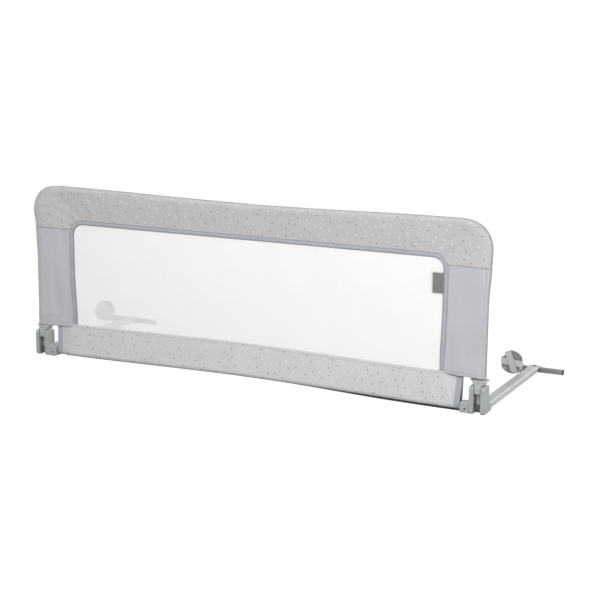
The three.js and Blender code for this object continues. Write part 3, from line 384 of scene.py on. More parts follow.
# %% Helpers for finishes
def finish(name, **constants):
    material = bpy.data.materials.new(name)
    material.use_nodes = True
    tree = material.node_tree
    shader = tree.nodes["Principled BSDF"]
    for socket, value in constants.items():
        shader.inputs[socket.replace("_", " ")].default_value = value
    return material, tree, shader


def tinted(colour, share, lift=0.0):
    """A darker or paler relative of a colour."""
    return tuple(min(1.0, share * c + lift) for c in colour)


def blend_colour(tree, factor, first, second):
    """Mixes two colours, each another node's result or three plain numbers."""
    ends = [c if isinstance(c, bpy.types.NodeSocket) else (*c, 1) for c in (first, second)]
    return node(tree, "Mix", {0: factor, 6: ends[0], 7: ends[1]}, data_type="RGBA").outputs[2]


def remap(tree, value, low, high):
    limits = {"Value": value, "From Min": 0.0, "From Max": 1.0, "To Min": low, "To Max": high}
    return node(tree, "MapRange", limits).outputs[0]


def darken_with_painted_shade(tree, tone, weight, dark):
    """Darkens a tone with painted shade along seams, folds and edges, whose mask is stored on the mesh."""
    painted_shade_mask = node(tree, "Attribute", attribute_name="painted_shade_mask").outputs["Fac"]
    return blend_colour(tree, times(tree, painted_shade_mask, weight), tone, dark)


def colour_and_relief(tree, shader, tone, height, depth, strength, rough=None):
    """Feeds what changes over the surface: its colour, the height of its bumps and its roughness."""
    bump = node(tree, "Bump", {"Height": height, "Distance": depth, "Strength": strength})
    tree.links.new(tone, shader.inputs["Base Color"])
    tree.links.new(bump.outputs[0], shader.inputs["Normal"])
    if rough is not None:
        tree.links.new(rough, shader.inputs["Roughness"])


# %% [markdown]
# The cover is thin polyester cloth. The top and the lower band carry the specks, and the side
# panels are plain and a little bluer. A plain grey would look like card, and a real weave is too
# fine to model thread by thread. So the weave is a bump, cloth's soft scatter is a weak sheen, and
# painted shade darkens the seams, the sewn ridge's line, the folds and the sleeve's outer edge.


# %% Cloth finishes
speck_ink = (0.105, 0.11, 0.125)


def cloth_finish(name, colour, printed, thread_rate):
    material, tree, shader = finish(name, Sheen_Weight=0.12, Sheen_Roughness=0.5, Specular_IOR_Level=0.25)
    place = node(tree, "UVMap").outputs[0]
    weave = use_group(tree, threads, {"Place": place, "Threads": thread_rate, "Slub": 0.8})
    patches = use_group(tree, mottle, {"Place": place, "Size": 16.0})
    tone = blend_colour(tree, patches["Tint"], tinted(colour, 0.93), tinted(colour, 1.07))
    tone = blend_colour(tree, remap(tree, weave["Shade"], 0.0, 0.30), tone, tinted(colour, 0.7))
    if printed:
        print_marks = use_group(tree, specks, {"Place": place})
        tone = blend_colour(tree, print_marks["Pale"], tone, tinted(colour, 0.5, 0.4))
        tone = blend_colour(tree, times(tree, print_marks["Dark"], 0.9), tone, speck_ink)
    # Painted shade: darker along the seams, the ridge's line, the folds and the fold's outer edge
    tone = darken_with_painted_shade(tree, tone, 0.55, tinted(colour, 0.35))
    rough = remap(tree, patches["Fine"], 0.78, 0.95)
    colour_and_relief(tree, shader, tone, weave["Height"], 0.18 * mm, 0.7, rough)
    return material


dotted_cloth = cloth_finish("dotted_cloth", (0.51, 0.5, 0.512), True, 1500.0)
# The lower band is the top's speckled cloth painted paler: painted light for the stronger light it catches
band_cloth_painted_lighter = cloth_finish("band_cloth_painted_lighter", (0.605, 0.595, 0.607), True, 1500.0)
plain_cloth = cloth_finish("plain_cloth", (0.495, 0.502, 0.532), False, 1700.0)
print("cloths:", dotted_cloth.name, band_cloth_painted_lighter.name, plain_cloth.name)

# %% [markdown]
# The binding is a ribbed tape folded over the window's edge and sewn down near both of its sides.
# Its ribs run across the tape and the stitch rows follow its length, and painted shade darkens it
# along both edges. A sine wave makes the ribs, because they are even, where the cloth's threads
# are not. The same tape in other greys makes the band's ends, the label and the dark edge under
# the band, whose darkness is painted shadow.


# %% Tape finishes
def tape_finish(name, colour, rows, ribs=900.0, shade_paint_share=0.4, shade_paint_weight=0.5):
    material, tree, shader = finish(name, Sheen_Weight=0.1, Specular_IOR_Level=0.3)
    place = node(tree, "UVMap").outputs[0]
    parts = node(tree, "SeparateXYZ", {0: place})
    ripples = calculate(tree, "SINE", times(tree, parts.outputs[0], 2 * math.pi * ribs))
    rib = times(tree, ripples, 0.5, 0.5)
    patches = use_group(tree, mottle, {"Place": place, "Size": 40.0})
    tone = blend_colour(tree, patches["Tint"], tinted(colour, 0.9), tinted(colour, 1.1))
    tone = blend_colour(tree, times(tree, rib, 0.2), tone, tinted(colour, 0.62))
    height = times(tree, rib, 0.25)
    for row in rows:
        sewn = use_group(tree, stitches, {"Place": place, "Row": row})
        tone = blend_colour(tree, times(tree, sewn["Mask"], 0.7), tone, tinted(colour, 1.5))
        height = calculate(tree, "ADD", height, sewn["Height"])
    # Painted shade along the tape's edges, from the marks on its mesh
    tone = darken_with_painted_shade(tree, tone, shade_paint_weight, tinted(colour, shade_paint_share))
    rough = remap(tree, patches["Fine"], 0.7, 0.9)
    colour_and_relief(tree, shader, tone, height, 0.25 * mm, 0.8, rough)
    return material


binding_tape = tape_finish("binding_tape", (0.385, 0.4, 0.425), [1.9 * mm, 9.6 * mm], shade_paint_weight=0.8)
end_tape = tape_finish("end_tape", (0.37, 0.385, 0.415), [2.2 * mm, 12.3 * mm])
label_cloth = tape_finish("label_cloth", (0.2, 0.195, 0.19), [2.0 * mm], ribs=1300.0)
# A dark tape whose darkness is painted shadow under the band
painted_shadow_tape = tape_finish("painted_shadow_tape", (0.2, 0.205, 0.215), [2.6 * mm], 700.0, shade_paint_share=0.1, shade_paint_weight=1.0)
print("tapes:", binding_tape.name, end_tape.name, label_cloth.name, painted_shadow_tape.name)

# %% [markdown]
# The window is a fine white knitted net. Seen from a few steps away it veils what lies behind it.
# Modelled strands would be thinner than a pixel and flicker. So the net is one sheet whose
# material lets a share of the light through everywhere and a little more in each hole.

# %% Net finish
net_finish, tree, shader = finish("white_net", Roughness=0.8, Specular_IOR_Level=0.2)
holes_per_metre, hole_spread, strand_edge, hole_edge = 620.0, 0.12, 0.10, 0.30
least_veil, most_veil = 0.63, 0.9
place = node(tree, "UVMap").outputs[0]
holes = node(tree, "TexVoronoi", {"Vector": place, "Scale": holes_per_metre, "Randomness": hole_spread},
             feature="DISTANCE_TO_EDGE", voronoi_dimensions="2D")
limits = {"Value": holes.outputs["Distance"], "From Min": hole_edge, "From Max": strand_edge}
strand = node(tree, "MapRange", limits).outputs[0]
patches = use_group(tree, mottle, {"Place": place, "Size": 12.0})
tone = blend_colour(tree, patches["Tint"], (0.79, 0.792, 0.795), (0.84, 0.84, 0.84))
tree.links.new(remap(tree, strand, least_veil, most_veil), shader.inputs["Alpha"])
colour_and_relief(tree, shader, tone, strand, 0.12 * mm, 0.5)
print("net:", net_finish.name)

# %% [markdown]
# The webbing is a flat woven strap with clear ribs along its length and firm edges, which painted
# shade darkens. The cloth's weave at half its fineness gives the surface, and a sine wave across
# it gives the ribs.

# %% Webbing finish
webbing, tree, shader = finish("grey_webbing", Sheen_Weight=0.1, Specular_IOR_Level=0.25)
ribs_per_metre, edge_shade_tone = 520.0, (0.2, 0.207, 0.205)
place = node(tree, "UVMap").outputs[0]
weave = use_group(tree, threads, {"Place": place, "Threads": 700.0, "Slub": 0.6})
parts = node(tree, "SeparateXYZ", {0: place})
ribs = calculate(tree, "SINE", times(tree, parts.outputs[1], 2 * math.pi * ribs_per_metre))
tone = blend_colour(tree, remap(tree, weave["Shade"], 0.0, 1.0), (0.6, 0.615, 0.61), (0.78, 0.79, 0.785))
tone = blend_colour(tree, remap(tree, ribs, 0.04, 0.10), tone, (0.3, 0.31, 0.31))
# Painted shade along the strap's edges
tone = darken_with_painted_shade(tree, tone, 0.75, edge_shade_tone)
height = times(tree, ribs, 0.3, weave["Height"])
rough = remap(tree, weave["Shade"], 0.7, 0.9)
colour_and_relief(tree, shader, tone, height, 0.3 * mm, 0.8, rough)
print("webbing:", webbing.name)

# %% [markdown]
# The brackets, collars, feet, caps and discs are moulded plastic with a fine spark-eroded grain.
# The tubes and arms are powder coated: a smoother, faintly pebbled paint. The screws and springs
# are plated steel, and the lug screws are near black: painted shade, for the dark recess that each
# sits in. One recipe makes them all, because only its numbers differ. Their edges are a little
# paler where hands and the mattress rub them.


# %% Hard finishes
def hard_finish(name, colour, roughness, grain, depth, worn, metal=0.0, coat=0.0):
    material, tree, shader = finish(name, Metallic=metal, Specular_IOR_Level=0.45, Coat_Roughness=0.3,
                                    Coat_Weight=coat)
    place = node(tree, "TexCoord").outputs["Object"]
    patches = use_group(tree, mottle, {"Place": place, "Size": 45.0})
    tone = blend_colour(tree, patches["Tint"], tinted(colour, 0.88), tinted(colour, 1.12))
    tone = blend_colour(tree, remap(tree, patches["Fine"], 0.0, 0.12), tone, tinted(colour, 0.6))
    rubbed = use_group(tree, wear, {"Place": place, "Reach": 0.08})["Mask"]
    tone = blend_colour(tree, times(tree, rubbed, worn), tone, tinted(colour, 1.5, 0.04))
    rough = remap(tree, patches["Fine"], roughness - 0.07, roughness + 0.09)
    pebbles = use_group(tree, grain_group, {"Place": place, "Size": grain})
    colour_and_relief(tree, shader, tone, pebbles["Height"], depth, 0.6, rough)
    return material


bracket_plastic = hard_finish("bracket_plastic", (0.345, 0.362, 0.36), 0.46, 1500.0, 0.06 * mm, 0.5)
collar_plastic = hard_finish("collar_plastic", (0.385, 0.402, 0.40), 0.42, 1500.0, 0.05 * mm, 0.5)
dark_plastic = hard_finish("dark_plastic", (0.075, 0.082, 0.088), 0.5, 1400.0, 0.06 * mm, 0.3)
disc_plastic = hard_finish("disc_plastic", (0.3, 0.315, 0.305), 0.45, 1500.0, 0.05 * mm, 0.5)
tube_paint = hard_finish("tube_paint", (0.46, 0.483, 0.473), 0.36, 900.0, 0.03 * mm, 0.25, coat=0.15)
bar_paint = hard_finish("bar_paint", (0.225, 0.235, 0.245), 0.4, 900.0, 0.03 * mm, 0.35, coat=0.1)
zinc = hard_finish("zinc_plate", (0.6, 0.61, 0.62), 0.34, 700.0, 0.02 * mm, 0.4, metal=1.0)
# Near black: painted shade for the recess round the lug screws
black_steel_painted_shade = hard_finish("black_steel_painted_shade", (0.02, 0.021, 0.023), 0.55, 700.0, 0.02 * mm, 0.2)
dull_steel = hard_finish("dull_steel", (0.13, 0.135, 0.14), 0.42, 700.0, 0.02 * mm, 0.4, metal=1.0)
print("finishes:", len(bpy.data.materials))


# %% [markdown]
# Most soft pieces are a grid of points wrapped over a shape. Sculpting them by hand would leave
# no sizes to change, and a cloth simulation could tear or slip, so each row of points is worked
# out instead. One helper turns the grid into a mesh with a UV map in metres, and threads and
# stitches come out at their real size.


# %% Helpers for meshes
def spot(x, y, z):
    """A place in the frame from millimetres: along the rail, behind its middle plane, above the floor."""
    return np.array([x * mm, hinge.y + y * mm, z * mm])


def as_object(name, mesh, material):
    piece = bpy.data.objects.new(name, mesh)
    bpy.context.scene.collection.objects.link(piece)
    mesh.materials.append(material)
    return piece


def lengths_along(points):
    """How far along a line each of its points lies."""
    return np.concatenate([[0], np.cumsum(np.linalg.norm(np.diff(points, axis=0), axis=1))])


def measured_map(rows):
    """A UV map for a closed grid: the mean length down its rows and round its rings."""
    steps = np.linalg.norm(np.diff(rows, axis=0), axis=2).mean(axis=1)
    widths = np.linalg.norm(np.diff(rows, axis=1, append=rows[:, :1]), axis=2).mean(axis=0)
    down, round_it = (np.concatenate([[0], np.cumsum(lengths)]) for lengths in (steps, widths))
    return np.stack(np.meshgrid(down, round_it, indexing="ij"), -1)


def skin(name, rows, material, uv=None, closed=False, caps=False, painted_shade_mask=None, sharp=50):
    """A mesh over a grid of points. closed joins each row to a ring, caps fills both end rings."""
    rows = np.asarray(rows, float)
    count, across = rows.shape[:2]
    i, j = np.meshgrid(np.arange(count - 1), np.arange(across if closed else across - 1), indexing="ij")
    k = (j + 1) % across
    quads = np.stack([i * across + j, i * across + k, (i + 1) * across + k, (i + 1) * across + j], -1)
    faces = quads.reshape(-1, 4).tolist()
    if caps:
        faces += [list(range(across))[::-1], list(range((count - 1) * across, count * across))]
    mesh = bpy.data.meshes.new(name)
    mesh.from_pydata(rows.reshape(-1, 3).tolist(), [], faces)
    uv = measured_map(rows) if uv is None else uv
    corners = np.stack([uv[i, j], uv[i, j + 1], uv[i + 1, j + 1], uv[i + 1, j]], 2).reshape(-1)
    flat = np.zeros(len(mesh.loops) * 2, np.float32)
    flat[: len(corners)] = corners
    mesh.uv_layers.new(name="UVMap").data.foreach_set("uv", flat)
    # painted_shade_mask: where painted shade darkens the colour, kept on the points
    if painted_shade_mask is not None:
        mark = mesh.attributes.new("painted_shade_mask", "FLOAT", "POINT")
        mark.data.foreach_set("value", np.asarray(painted_shade_mask, np.float32).reshape(-1))
    mesh.shade_smooth()
    mesh.set_sharp_from_angle(angle=math.radians(sharp))
    mesh.validate()
    return as_object(name, mesh, material)


def dress(piece, body, stands_for):
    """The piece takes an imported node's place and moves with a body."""
    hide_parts(stands_for)
    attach(piece, body)
    return piece


# %% [markdown]
# Cloth changes slowly from place to place. A soft step eases one size into another, and a smooth
# random wave with a given height and lengths stands for a fold, a pucker or slackness. Its seed
# is written down, so the cloth hangs the same in each render.


# %% Helpers for soft shapes
def smooth_step(value, low, high):
    share = min(1.0, max(0.0, (value - low) / (high - low)))
    return share * share * (3 - 2 * share)


def wave(height, x, z, length_x, length_z, seed):
    """A smooth random wave, in millimetres like its place and its lengths."""
    return height * noise.noise(Vector((x / length_x, z / length_z, seed)))


def bump_at(place, centre, width):
    """1 at the centre and falling to nothing over about twice the width on each side."""
    return math.exp(-((place - centre) / width) ** 2)


# %% [markdown]
# The cover is one long sleeve over the tube frame. It is easiest to see as rungs: each rung
# starts under the window's binding, runs flat to the tube, wraps its outside a little loosely
# and comes back along the rear. The rungs stand level on the legs, fan out round the top corners
# and stand upright along the top, which bows down a little between its ends. A flat sheet with a
# thickness would be quicker, but it would not wrap the tube.

# %% Where the rungs stand
leg_x, bend, top_z, top_dip = 585.0, 58.0, 425.0, 7.0
hem_z, seam_z = 88.0, 328.5
corner_x, corner_z = 466.5, 315.5
edge_x, edge_z = 31.0, 33.0
leg_step, corner_step, fan_steps, top_steps = 4.0, 3.0, 52, 118
foot_lean, lean_low, lean_high, lean_power = {"right": 4.0, "left": 7.0}, 84, 250, 1.5


def tube_top(x):
    return top_z - top_dip * (1 + math.cos(math.pi * x / (leg_x - bend))) / 2


def inner_at(angle):
    return corner_x + edge_x * math.cos(angle), corner_z + edge_z * math.sin(angle)


def flare(z, side):
    """How far the window's side edge leans in towards its foot, in millimetres."""
    return foot_lean[side] * (1 - smooth_step(z, lean_low, lean_high)) ** lean_power


def tube_centre(gone):
    """The tube's centre and its outward way, a distance on from the seam up the leg and round."""
    straight, curve = top_z - bend - seam_z, bend * math.pi / 2
    if gone < straight:
        return leg_x, seam_z + gone, 1.0, 0.0
    if gone < straight + curve:
        turn_by = (gone - straight) / bend
        out_x, out_z = math.cos(turn_by), math.sin(turn_by)
        return leg_x - bend + bend * out_x, top_z - bend + bend * out_z, out_x, out_z
    x = leg_x - bend - (gone - straight - curve)
    return x, tube_top(x), 0.0, 1.0


def half_rungs():
    """The right half, from the hem to the middle: inner end, tube centre, outward way and part."""
    rungs = []
    for z in [*np.arange(hem_z, corner_z, leg_step), *np.arange(corner_z, seam_z - 1, corner_step)]:
        angle = math.asin(max(0, z - corner_z) / edge_z)
        rungs.append((inner_at(angle)[0], z, leg_x, z, 1.0, 0.0, "leg"))
    seam_angle = math.asin((seam_z - corner_z) / edge_z)
    total = (top_z - bend - seam_z) + bend * math.pi / 2 + (leg_x - bend - corner_x)
    for step in range(fan_steps + 1):
        share = step / fan_steps
        inner = inner_at(seam_angle + share * (math.pi / 2 - seam_angle))
        rungs.append((*inner, *tube_centre(share * total), "fan"))
    for x in np.linspace(corner_x, 0, top_steps)[1:]:
        rungs.append((x, corner_z + edge_z, x, tube_top(x), 0.0, 1.0, "top"))
    return rungs


right_half = half_rungs()
seam_rung = next(i for i, rung in enumerate(right_half) if rung[6] == "fan")
rungs = [(flare(b, "left") - a, b, -c, d, -e, f, g) for a, b, c, d, e, f, g in right_half[:-1]]
rungs += [(a - flare(b, "right"), b, *others) for a, b, *others in right_half[::-1]]
print("rungs in the cover:", len(rungs), "seam at rung", seam_rung)

# %% [markdown]
# Every rung has the same section: a flat run, a quarter turn over the tube and a loose fold
# beyond it, then the same again behind. The loose fold reaches further out just below the top
# corners, where the real cover bulges, and that bulge is what makes it look like cloth and not
# like a pressed sheet.

# %% How loosely the cloth lies
tube_depth, spring_depth, under_binding = 9.3, 11.9, 1.0
loose_leg = {"right": 14.2, "left": 18.0}
loose_above_seam, seam_swell = {"right": 4.5, "left": 3.0}, (250, 330)
loose_corner, corner_swell = {"right": 1.2, "left": 5.5}, {"right": (338, 372), "left": (335, 372)}
loose_top, loose_top_more = 10.5, {"right": -0.2, "left": 0.9}


def side_of(x):
    return "left" if x < 0 else "right"


def loose_reach(x, z, out_x):
    """How far the cloth stands beyond the tube's centre line, in millimetres."""
    side = side_of(x)
    leg = loose_leg[side] + loose_above_seam[side] * smooth_step(z, *seam_swell)
    leg += loose_corner[side] * smooth_step(z, *corner_swell[side])
    top = loose_top + wave(1.1, x, 0, 170, 1, 3.1) + loose_top_more[side]
    return leg + (top - leg) * smooth_step(1 - abs(out_x), 0.0, 0.9)


def sleeve_depth(z):
    """Half the sleeve's thickness at a leg: it clears the latch spring's stop ring below."""
    return spring_depth + (tube_depth - spring_depth) * smooth_step(z, 104, 130)


def wrinkle(x, z, share, from_seam, part, face):
    """Small waves of the stretched cloth, in millimetres, for a point a share of the way to the tube."""
    belly = math.sin(math.pi * min(1.0, share))
    slack = wave(1.1, x, z, 80, 55, face) * belly
    pucker = wave(1.6, x, z, 7, 14, 7 + face) * math.exp(-from_seam / 16.0) * smooth_step(from_seam, 2, 9)
    if part == "leg":
        return slack + pucker + wave(3.4 if x < 0 else 1.8, x, z, 20, 200, 11 + face) * belly
    near_corner = smooth_step(abs(x), 250, 450)
    spread = math.atan2(z - corner_z, abs(x) - corner_x + 60) * 9
    folds = wave(1.5 * near_corner, spread, 0.4, 1, 1, 5 + face) * belly
    folds += wave(0.7 + 0.7 * near_corner, x, z, 11, 60, 13 + face) * belly
    return slack + pucker + folds


# %% [markdown]
# A section is built face by face. Its flat part leans from the binding out to the tube, and its
# fold is squeezed a little flatter than a circle. On the right leg a sewn ridge runs along the
# front of the tube. Each point also gets its place on the flat cloth, so that the print and the
# weave run round the tube unstretched, and a mark of painted shade: a line beside the ridge, and
# a darker outer edge where the fold turns away.

# %% The section of a rung
flat_shares = [0, 0.03, 0.06, 0.1, 0.15, 0.2, 0.27, 0.34, 0.42, 0.5, 0.58, 0.66, 0.74, 0.81, 0.87, 0.92,
               0.96, 1.0]
ridge = 0.60
fold_angles = [-0.1, 0.0, 0.12, 0.25, 0.38, 0.48, 0.54, ridge, 0.66, 0.72, 0.82, 0.95, 1.08, 1.22, 1.36, 1.48]
ridge_lift, ridge_width, ridge_shadow, shadow_width, squeeze = 0.4, 0.07, 0.7, 0.05, 0.85
# Painted shade at the fold's outer edge and along the seams
edge_shade_paint = 0.75


def half_section(rung, face):
    """One face of a rung, -1 in front and 1 behind: points, places on the cloth and marks of painted shade.
    """
    inner_x, inner_z, x, z, out_x, out_z, part = rung
    reach_out, half_depth = loose_reach(x, z, out_x), sleeve_depth(z)
    sewn = 1.0 if part == "leg" and x > 0 else 0.0
    span = math.hypot(x - inner_x, z - inner_z)
    lean = math.asin((half_depth - under_binding) / span)
    tangent_x, tangent_z = (c - half_depth * math.sin(lean) * out for c, out in ((x, out_x), (z, out_z)))
    points, cloth, marks = [], [], []
    for share in flat_shares:
        px, pz = inner_x + share * (tangent_x - inner_x), inner_z + share * (tangent_z - inner_z)
        depth = under_binding + share * (half_depth * math.cos(lean) - under_binding)
        depth += wrinkle(px, pz, share, share * span, part, face)
        points.append((px, face * depth, pz))
        cloth.append((px, pz))
        marks.append(0.0)
    for angle in [max(-lean, fold_angles[0]) * 0.5, *fold_angles[1:]]:
        wide = half_depth if angle < 0 else reach_out
        lift = ridge_lift * sewn * bump_at(angle, ridge, ridge_width)
        out, deep = wide * math.sin(angle), (half_depth + lift) * math.cos(angle) ** squeeze
        run = wide * angle if angle > 0 else out
        points.append((x + out * out_x, face * deep, z + out * out_z))
        cloth.append((x + run * out_x, z + run * out_z))
        line = ridge_shadow * sewn * bump_at(angle, ridge - 0.06, shadow_width)
        marks.append(max(line, edge_shade_paint * smooth_step(angle, 0.9, 1.3)))
    return points, cloth, marks


def section(rung):
    """Points from front to back, the front's and the back's places on the cloth, and painted shade marks."""
    front, front_cloth, front_marks = half_section(rung, -1)
    back, back_cloth, back_marks = half_section(rung, 1)
    _, _, x, z, out_x, out_z, _ = rung
    reach_out = loose_reach(x, z, out_x)
    run = reach_out * math.pi / 2
    tip = (x + reach_out * out_x, 0.0, z + reach_out * out_z)
    tip_cloth = (x + run * out_x, z + run * out_z)
    return (front + [tip] + back[::-1], front_cloth + [tip_cloth], [tip_cloth] + back_cloth[::-1],
            front_marks + [edge_shade_paint] + back_marks[::-1])


# %% [markdown]
# The sleeve is cut from three pieces of cloth: the speckled top and two plain side panels. They
# could be one mesh with two materials, but on a bench they are separate pieces. They share the
# rung at the seam, pulled in a little and darkened there with painted shade, so that no gap shows.
# Front and back each have a UV map of their own, and are then merged along the fold.

# %% Joining and cutting the sleeve
seam_sink, beside_seam = 0.8, -0.25
back_print_shift = 3.0


def weld(first, other):
    """Joins another piece into the first and merges the points that they share."""
    build = bmesh.new()
    build.from_mesh(first.data)
    build.from_mesh(other.data)
    old = other.data
    bpy.data.objects.remove(other)
    bpy.data.meshes.remove(old)
    bmesh.ops.remove_doubles(build, verts=build.verts, dist=0.02 * mm)
    bmesh.ops.recalc_face_normals(build, faces=build.faces)
    build.to_mesh(first.data)
    build.free()
    first.data.shade_smooth()


def cover_piece(name, chosen, material, seam_ends):
    """A length of the sleeve over the chosen rungs, with a sewn seam at some of their ends."""
    rows, front_map, back_map, marks = [], [], [], []
    for index, rung in enumerate(chosen):
        points, front_cloth, back_cloth, painted_shade_mask = section(rung)
        near = min(abs(index - end) for end in seam_ends)
        sunk = {0: seam_sink, 1: beside_seam}.get(near, 0.0)
        shrink = [1 - sunk / max(3.0, abs(y)) if abs(y) > 0.01 else 1.0 for _, y, _ in points]
        rows.append([spot(x, y * share, z) for (x, y, z), share in zip(points, shrink)])
        front_map.append(front_cloth)
        back_map.append(back_cloth)
        # The seam's rung gets the same painted shade
        marks.append([max(c, edge_shade_paint if near == 0 else 0.0) for c in painted_shade_mask])
    rows, marks, middle = np.array(rows), np.array(marks), len(front_map[0]) - 1
    front_map, back_map = np.array(front_map) * mm, np.array(back_map) * mm * (-1, 1) + (back_print_shift, 0)
    front = skin(name, rows[:, : middle + 1], material, front_map, painted_shade_mask=marks[:, : middle + 1])
    back = skin(name + "_back", rows[:, middle:], material, back_map, painted_shade_mask=marks[:, middle:])
    weld(front, back)
    return front


# %% The top cover and the side panels
left_end, right_end = seam_rung, len(rungs) - 1 - seam_rung
top_part = rungs[left_end : right_end + 1]
cover_top = cover_piece("cover_top", top_part, dotted_cloth, [0, right_end - left_end])
dress(cover_top, "guard", "top_sleeve")
panels = {
    "left": cover_piece("side_panel_cloth_left", rungs[: left_end + 1], plain_cloth, [left_end]),
    "right": cover_piece("side_panel_cloth_right", rungs[right_end:], plain_cloth, [0]),
}
for side, panel in panels.items():
    dress(panel, "guard", f"side_panel_{side}")
print("cover points:", len(cover_top.data.vertices), [len(p.data.vertices) for p in panels.values()])

# %% [markdown]
# The window is bound with a folded tape. Its outer edge follows a rectangle with rounded top
# corners, and its width shrinks a little along the top and at its two feet. A curve with a bevel
# would keep one width all the way round, so the tape is swept by hand along that line, as a flat
# loop with a rounded fold at the window side and a groove at each row of stitches.

# %% Line of the binding
tape_half, tape_top, tape_corner, tape_foot = 504.0, 353.5, 38.0, 87.3
side_width, top_width, foot_narrowing, narrowing_height = 12.5, 11.0, 1.6, 60
tape_step, tape_corner_points, tape_top_points = 4.0, 15, 90


def binding_line():
    """Outer edge points, inward way and the tape's width, from the left foot to the right foot."""
    line = []
    for z in np.arange(tape_foot, tape_top - tape_corner, tape_step):
        narrower = foot_narrowing * (1 - smooth_step(z, tape_foot, tape_foot + narrowing_height))
        line.append((-tape_half, z, 1.0, 0.0, side_width - narrower))
    for angle in np.linspace(0, math.pi / 2, tape_corner_points):
        out_x, out_z = -math.cos(angle), math.sin(angle)
        width = side_width + (top_width - side_width) * angle / (math.pi / 2)
        x, z = tape_corner * (out_x + 1) - tape_half, tape_top + tape_corner * (out_z - 1)
        line.append((x, z, -out_x, -out_z, width))
    for x in np.linspace(tape_corner - tape_half, 0, tape_top_points)[1:]:
        line.append((x, tape_top, 0.0, -1.0, top_width))
    mirrored = [(-x - flare(z, "right"), z, -a, b, w) for x, z, a, b, w in line[-2::-1]]
    return [(x + flare(z, "left"), z, a, b, w) for x, z, a, b, w in line] + mirrored


# %% Window binding
tape_deep, seam_groove, seam_inset, fold_inset, groove_half = 3.0, 0.35, 2.0, 2.2, 0.7
tape_shares = (0.0, 0.07, 0.15, 0.3, 0.5, 0.66, 0.78, 0.88, 0.97)


def tape_front(width):
    """The front of the tape's section: places across it and how far each stands forward."""
    front = []
    for share in tape_shares:
        swell = 0.78 + 0.22 * math.sin(math.pi * min(1, share * 1.05))
        rounded = 1 - 0.9 * max(0, share - 0.88) / 0.12
        outer = seam_groove * bump_at(share * width, seam_inset, groove_half)
        inner = seam_groove * bump_at((1 - share) * width, fold_inset, groove_half)
        front.append((share * width, -tape_deep * (swell * rounded) + (outer + inner)))
    return front


line = binding_line()
gone = lengths_along(np.array([(x, z) for x, z, *_ in line]))
rows, uvs, marks = [], [], []
for (x, z, in_x, in_z, width), length in zip(line, gone):
    sway = wave(0.5, length, 0.3, 45, 1, 21) * 0.4
    front = tape_front(width)
    ring = front + [(width, 0.0)] + [(a, -d) for a, d in front[::-1]] + [(-0.4, 0.0)]
    across = [a for a, _ in front] + [width] + [2 * width - a for a, _ in front[::-1]]
    across += [2 * width + 1, 2 * width + 2]
    rows.append([spot(x + a * in_x, d + sway, z + a * in_z) for a, d in ring])
    uvs.append([(length, a) for a in across])
    # Painted shade: darker along both edges of the tape
    marks.append([0.8 * bump_at(a, 0, 1.3) + bump_at(a, width, 2.2) for a, _ in ring])
uvs = np.array(uvs) * mm
window_tape = skin("window_tape", rows, binding_tape, uvs, closed=True, caps=True, painted_shade_mask=marks)
dress(window_tape, "guard", "window_binding")
print("binding length:", round(gone[-1]), "mm")

# %% [markdown]
# The net fills the window. It is one flat sheet whose edges disappear inside the binding and
# the lower band. A plain rectangle would look like glass, so it keeps the faint slackness that a
# stretched net has between its seams.

# %% Window net
band_high, band_rise, window_half = 87.0, 6.5, 504.0
net_half, net_top, net_tuck = 498.0, 347.0, 3


def band_top(x):
    return band_high + band_rise * (1 + math.cos(math.pi * x / window_half)) / 2


rows, uvs = [], []
for x in np.linspace(-net_half, net_half, 101):
    low = band_top(x) - net_tuck
    past_corner = max(0.0, abs(x) - corner_x) / (net_half - corner_x)
    high = corner_z + math.sqrt(max(0.0, 1 - past_corner ** 2)) * (net_top - corner_z)
    heights = [low + share * (high - low) for share in np.linspace(0, 1, 25)]
    inward = smooth_step(net_half - abs(x), 6, 45)
    calm = [math.sin(math.pi * share) * inward for share in np.linspace(0, 1, 25)]
    rows.append([spot(x, wave(1.1, x, z, 140, 110, 31) * c, z) for z, c in zip(heights, calm)])
    uvs.append([(x, z) for z in heights])
white_net = skin("white_net", rows, net_finish, np.array(uvs) * mm)
dress(white_net, "guard", "window_net")
print("net rows:", len(rows))

# %% [markdown]
# The lower band is a sleeve of the speckled cloth. It hangs from the window, passes round the
# bottom tube and comes back up behind, and each end is finished with a plain strip. When the
# rail folds, its top goes with the guard while its loop stays on the tube. Two pieces would open
# a gap there, so it is one piece.

# %% Section of the lower band
tube_z, tube_rise, tube_span, loop_radius = 14.0, 7.0, 540.0, 9.4
band_half, end_lean, lean_from, band_thick = 546.5, 6.0, 470, 1.9
end_top = {"right": 80.2, "left": 77.4}
window_edge, past_window, gather_from, gather_to, gather_length = 500, 507, -524, -503, 8.5
sewn_fold, fold_sink = 7.6, 0.5


def tube_line(x):
    return tube_z + (tube_rise * (1 + math.cos(math.pi * x / tube_span)) / 2 if abs(x) < tube_span else 0)


def gathered(x):
    """How strongly the cloth is gathered in pleats, 1 at the left end and 0 from the window on."""
    return 1 - smooth_step(x, gather_from, gather_to)


def pleats(x):
    return x * 2 * math.pi / gather_length


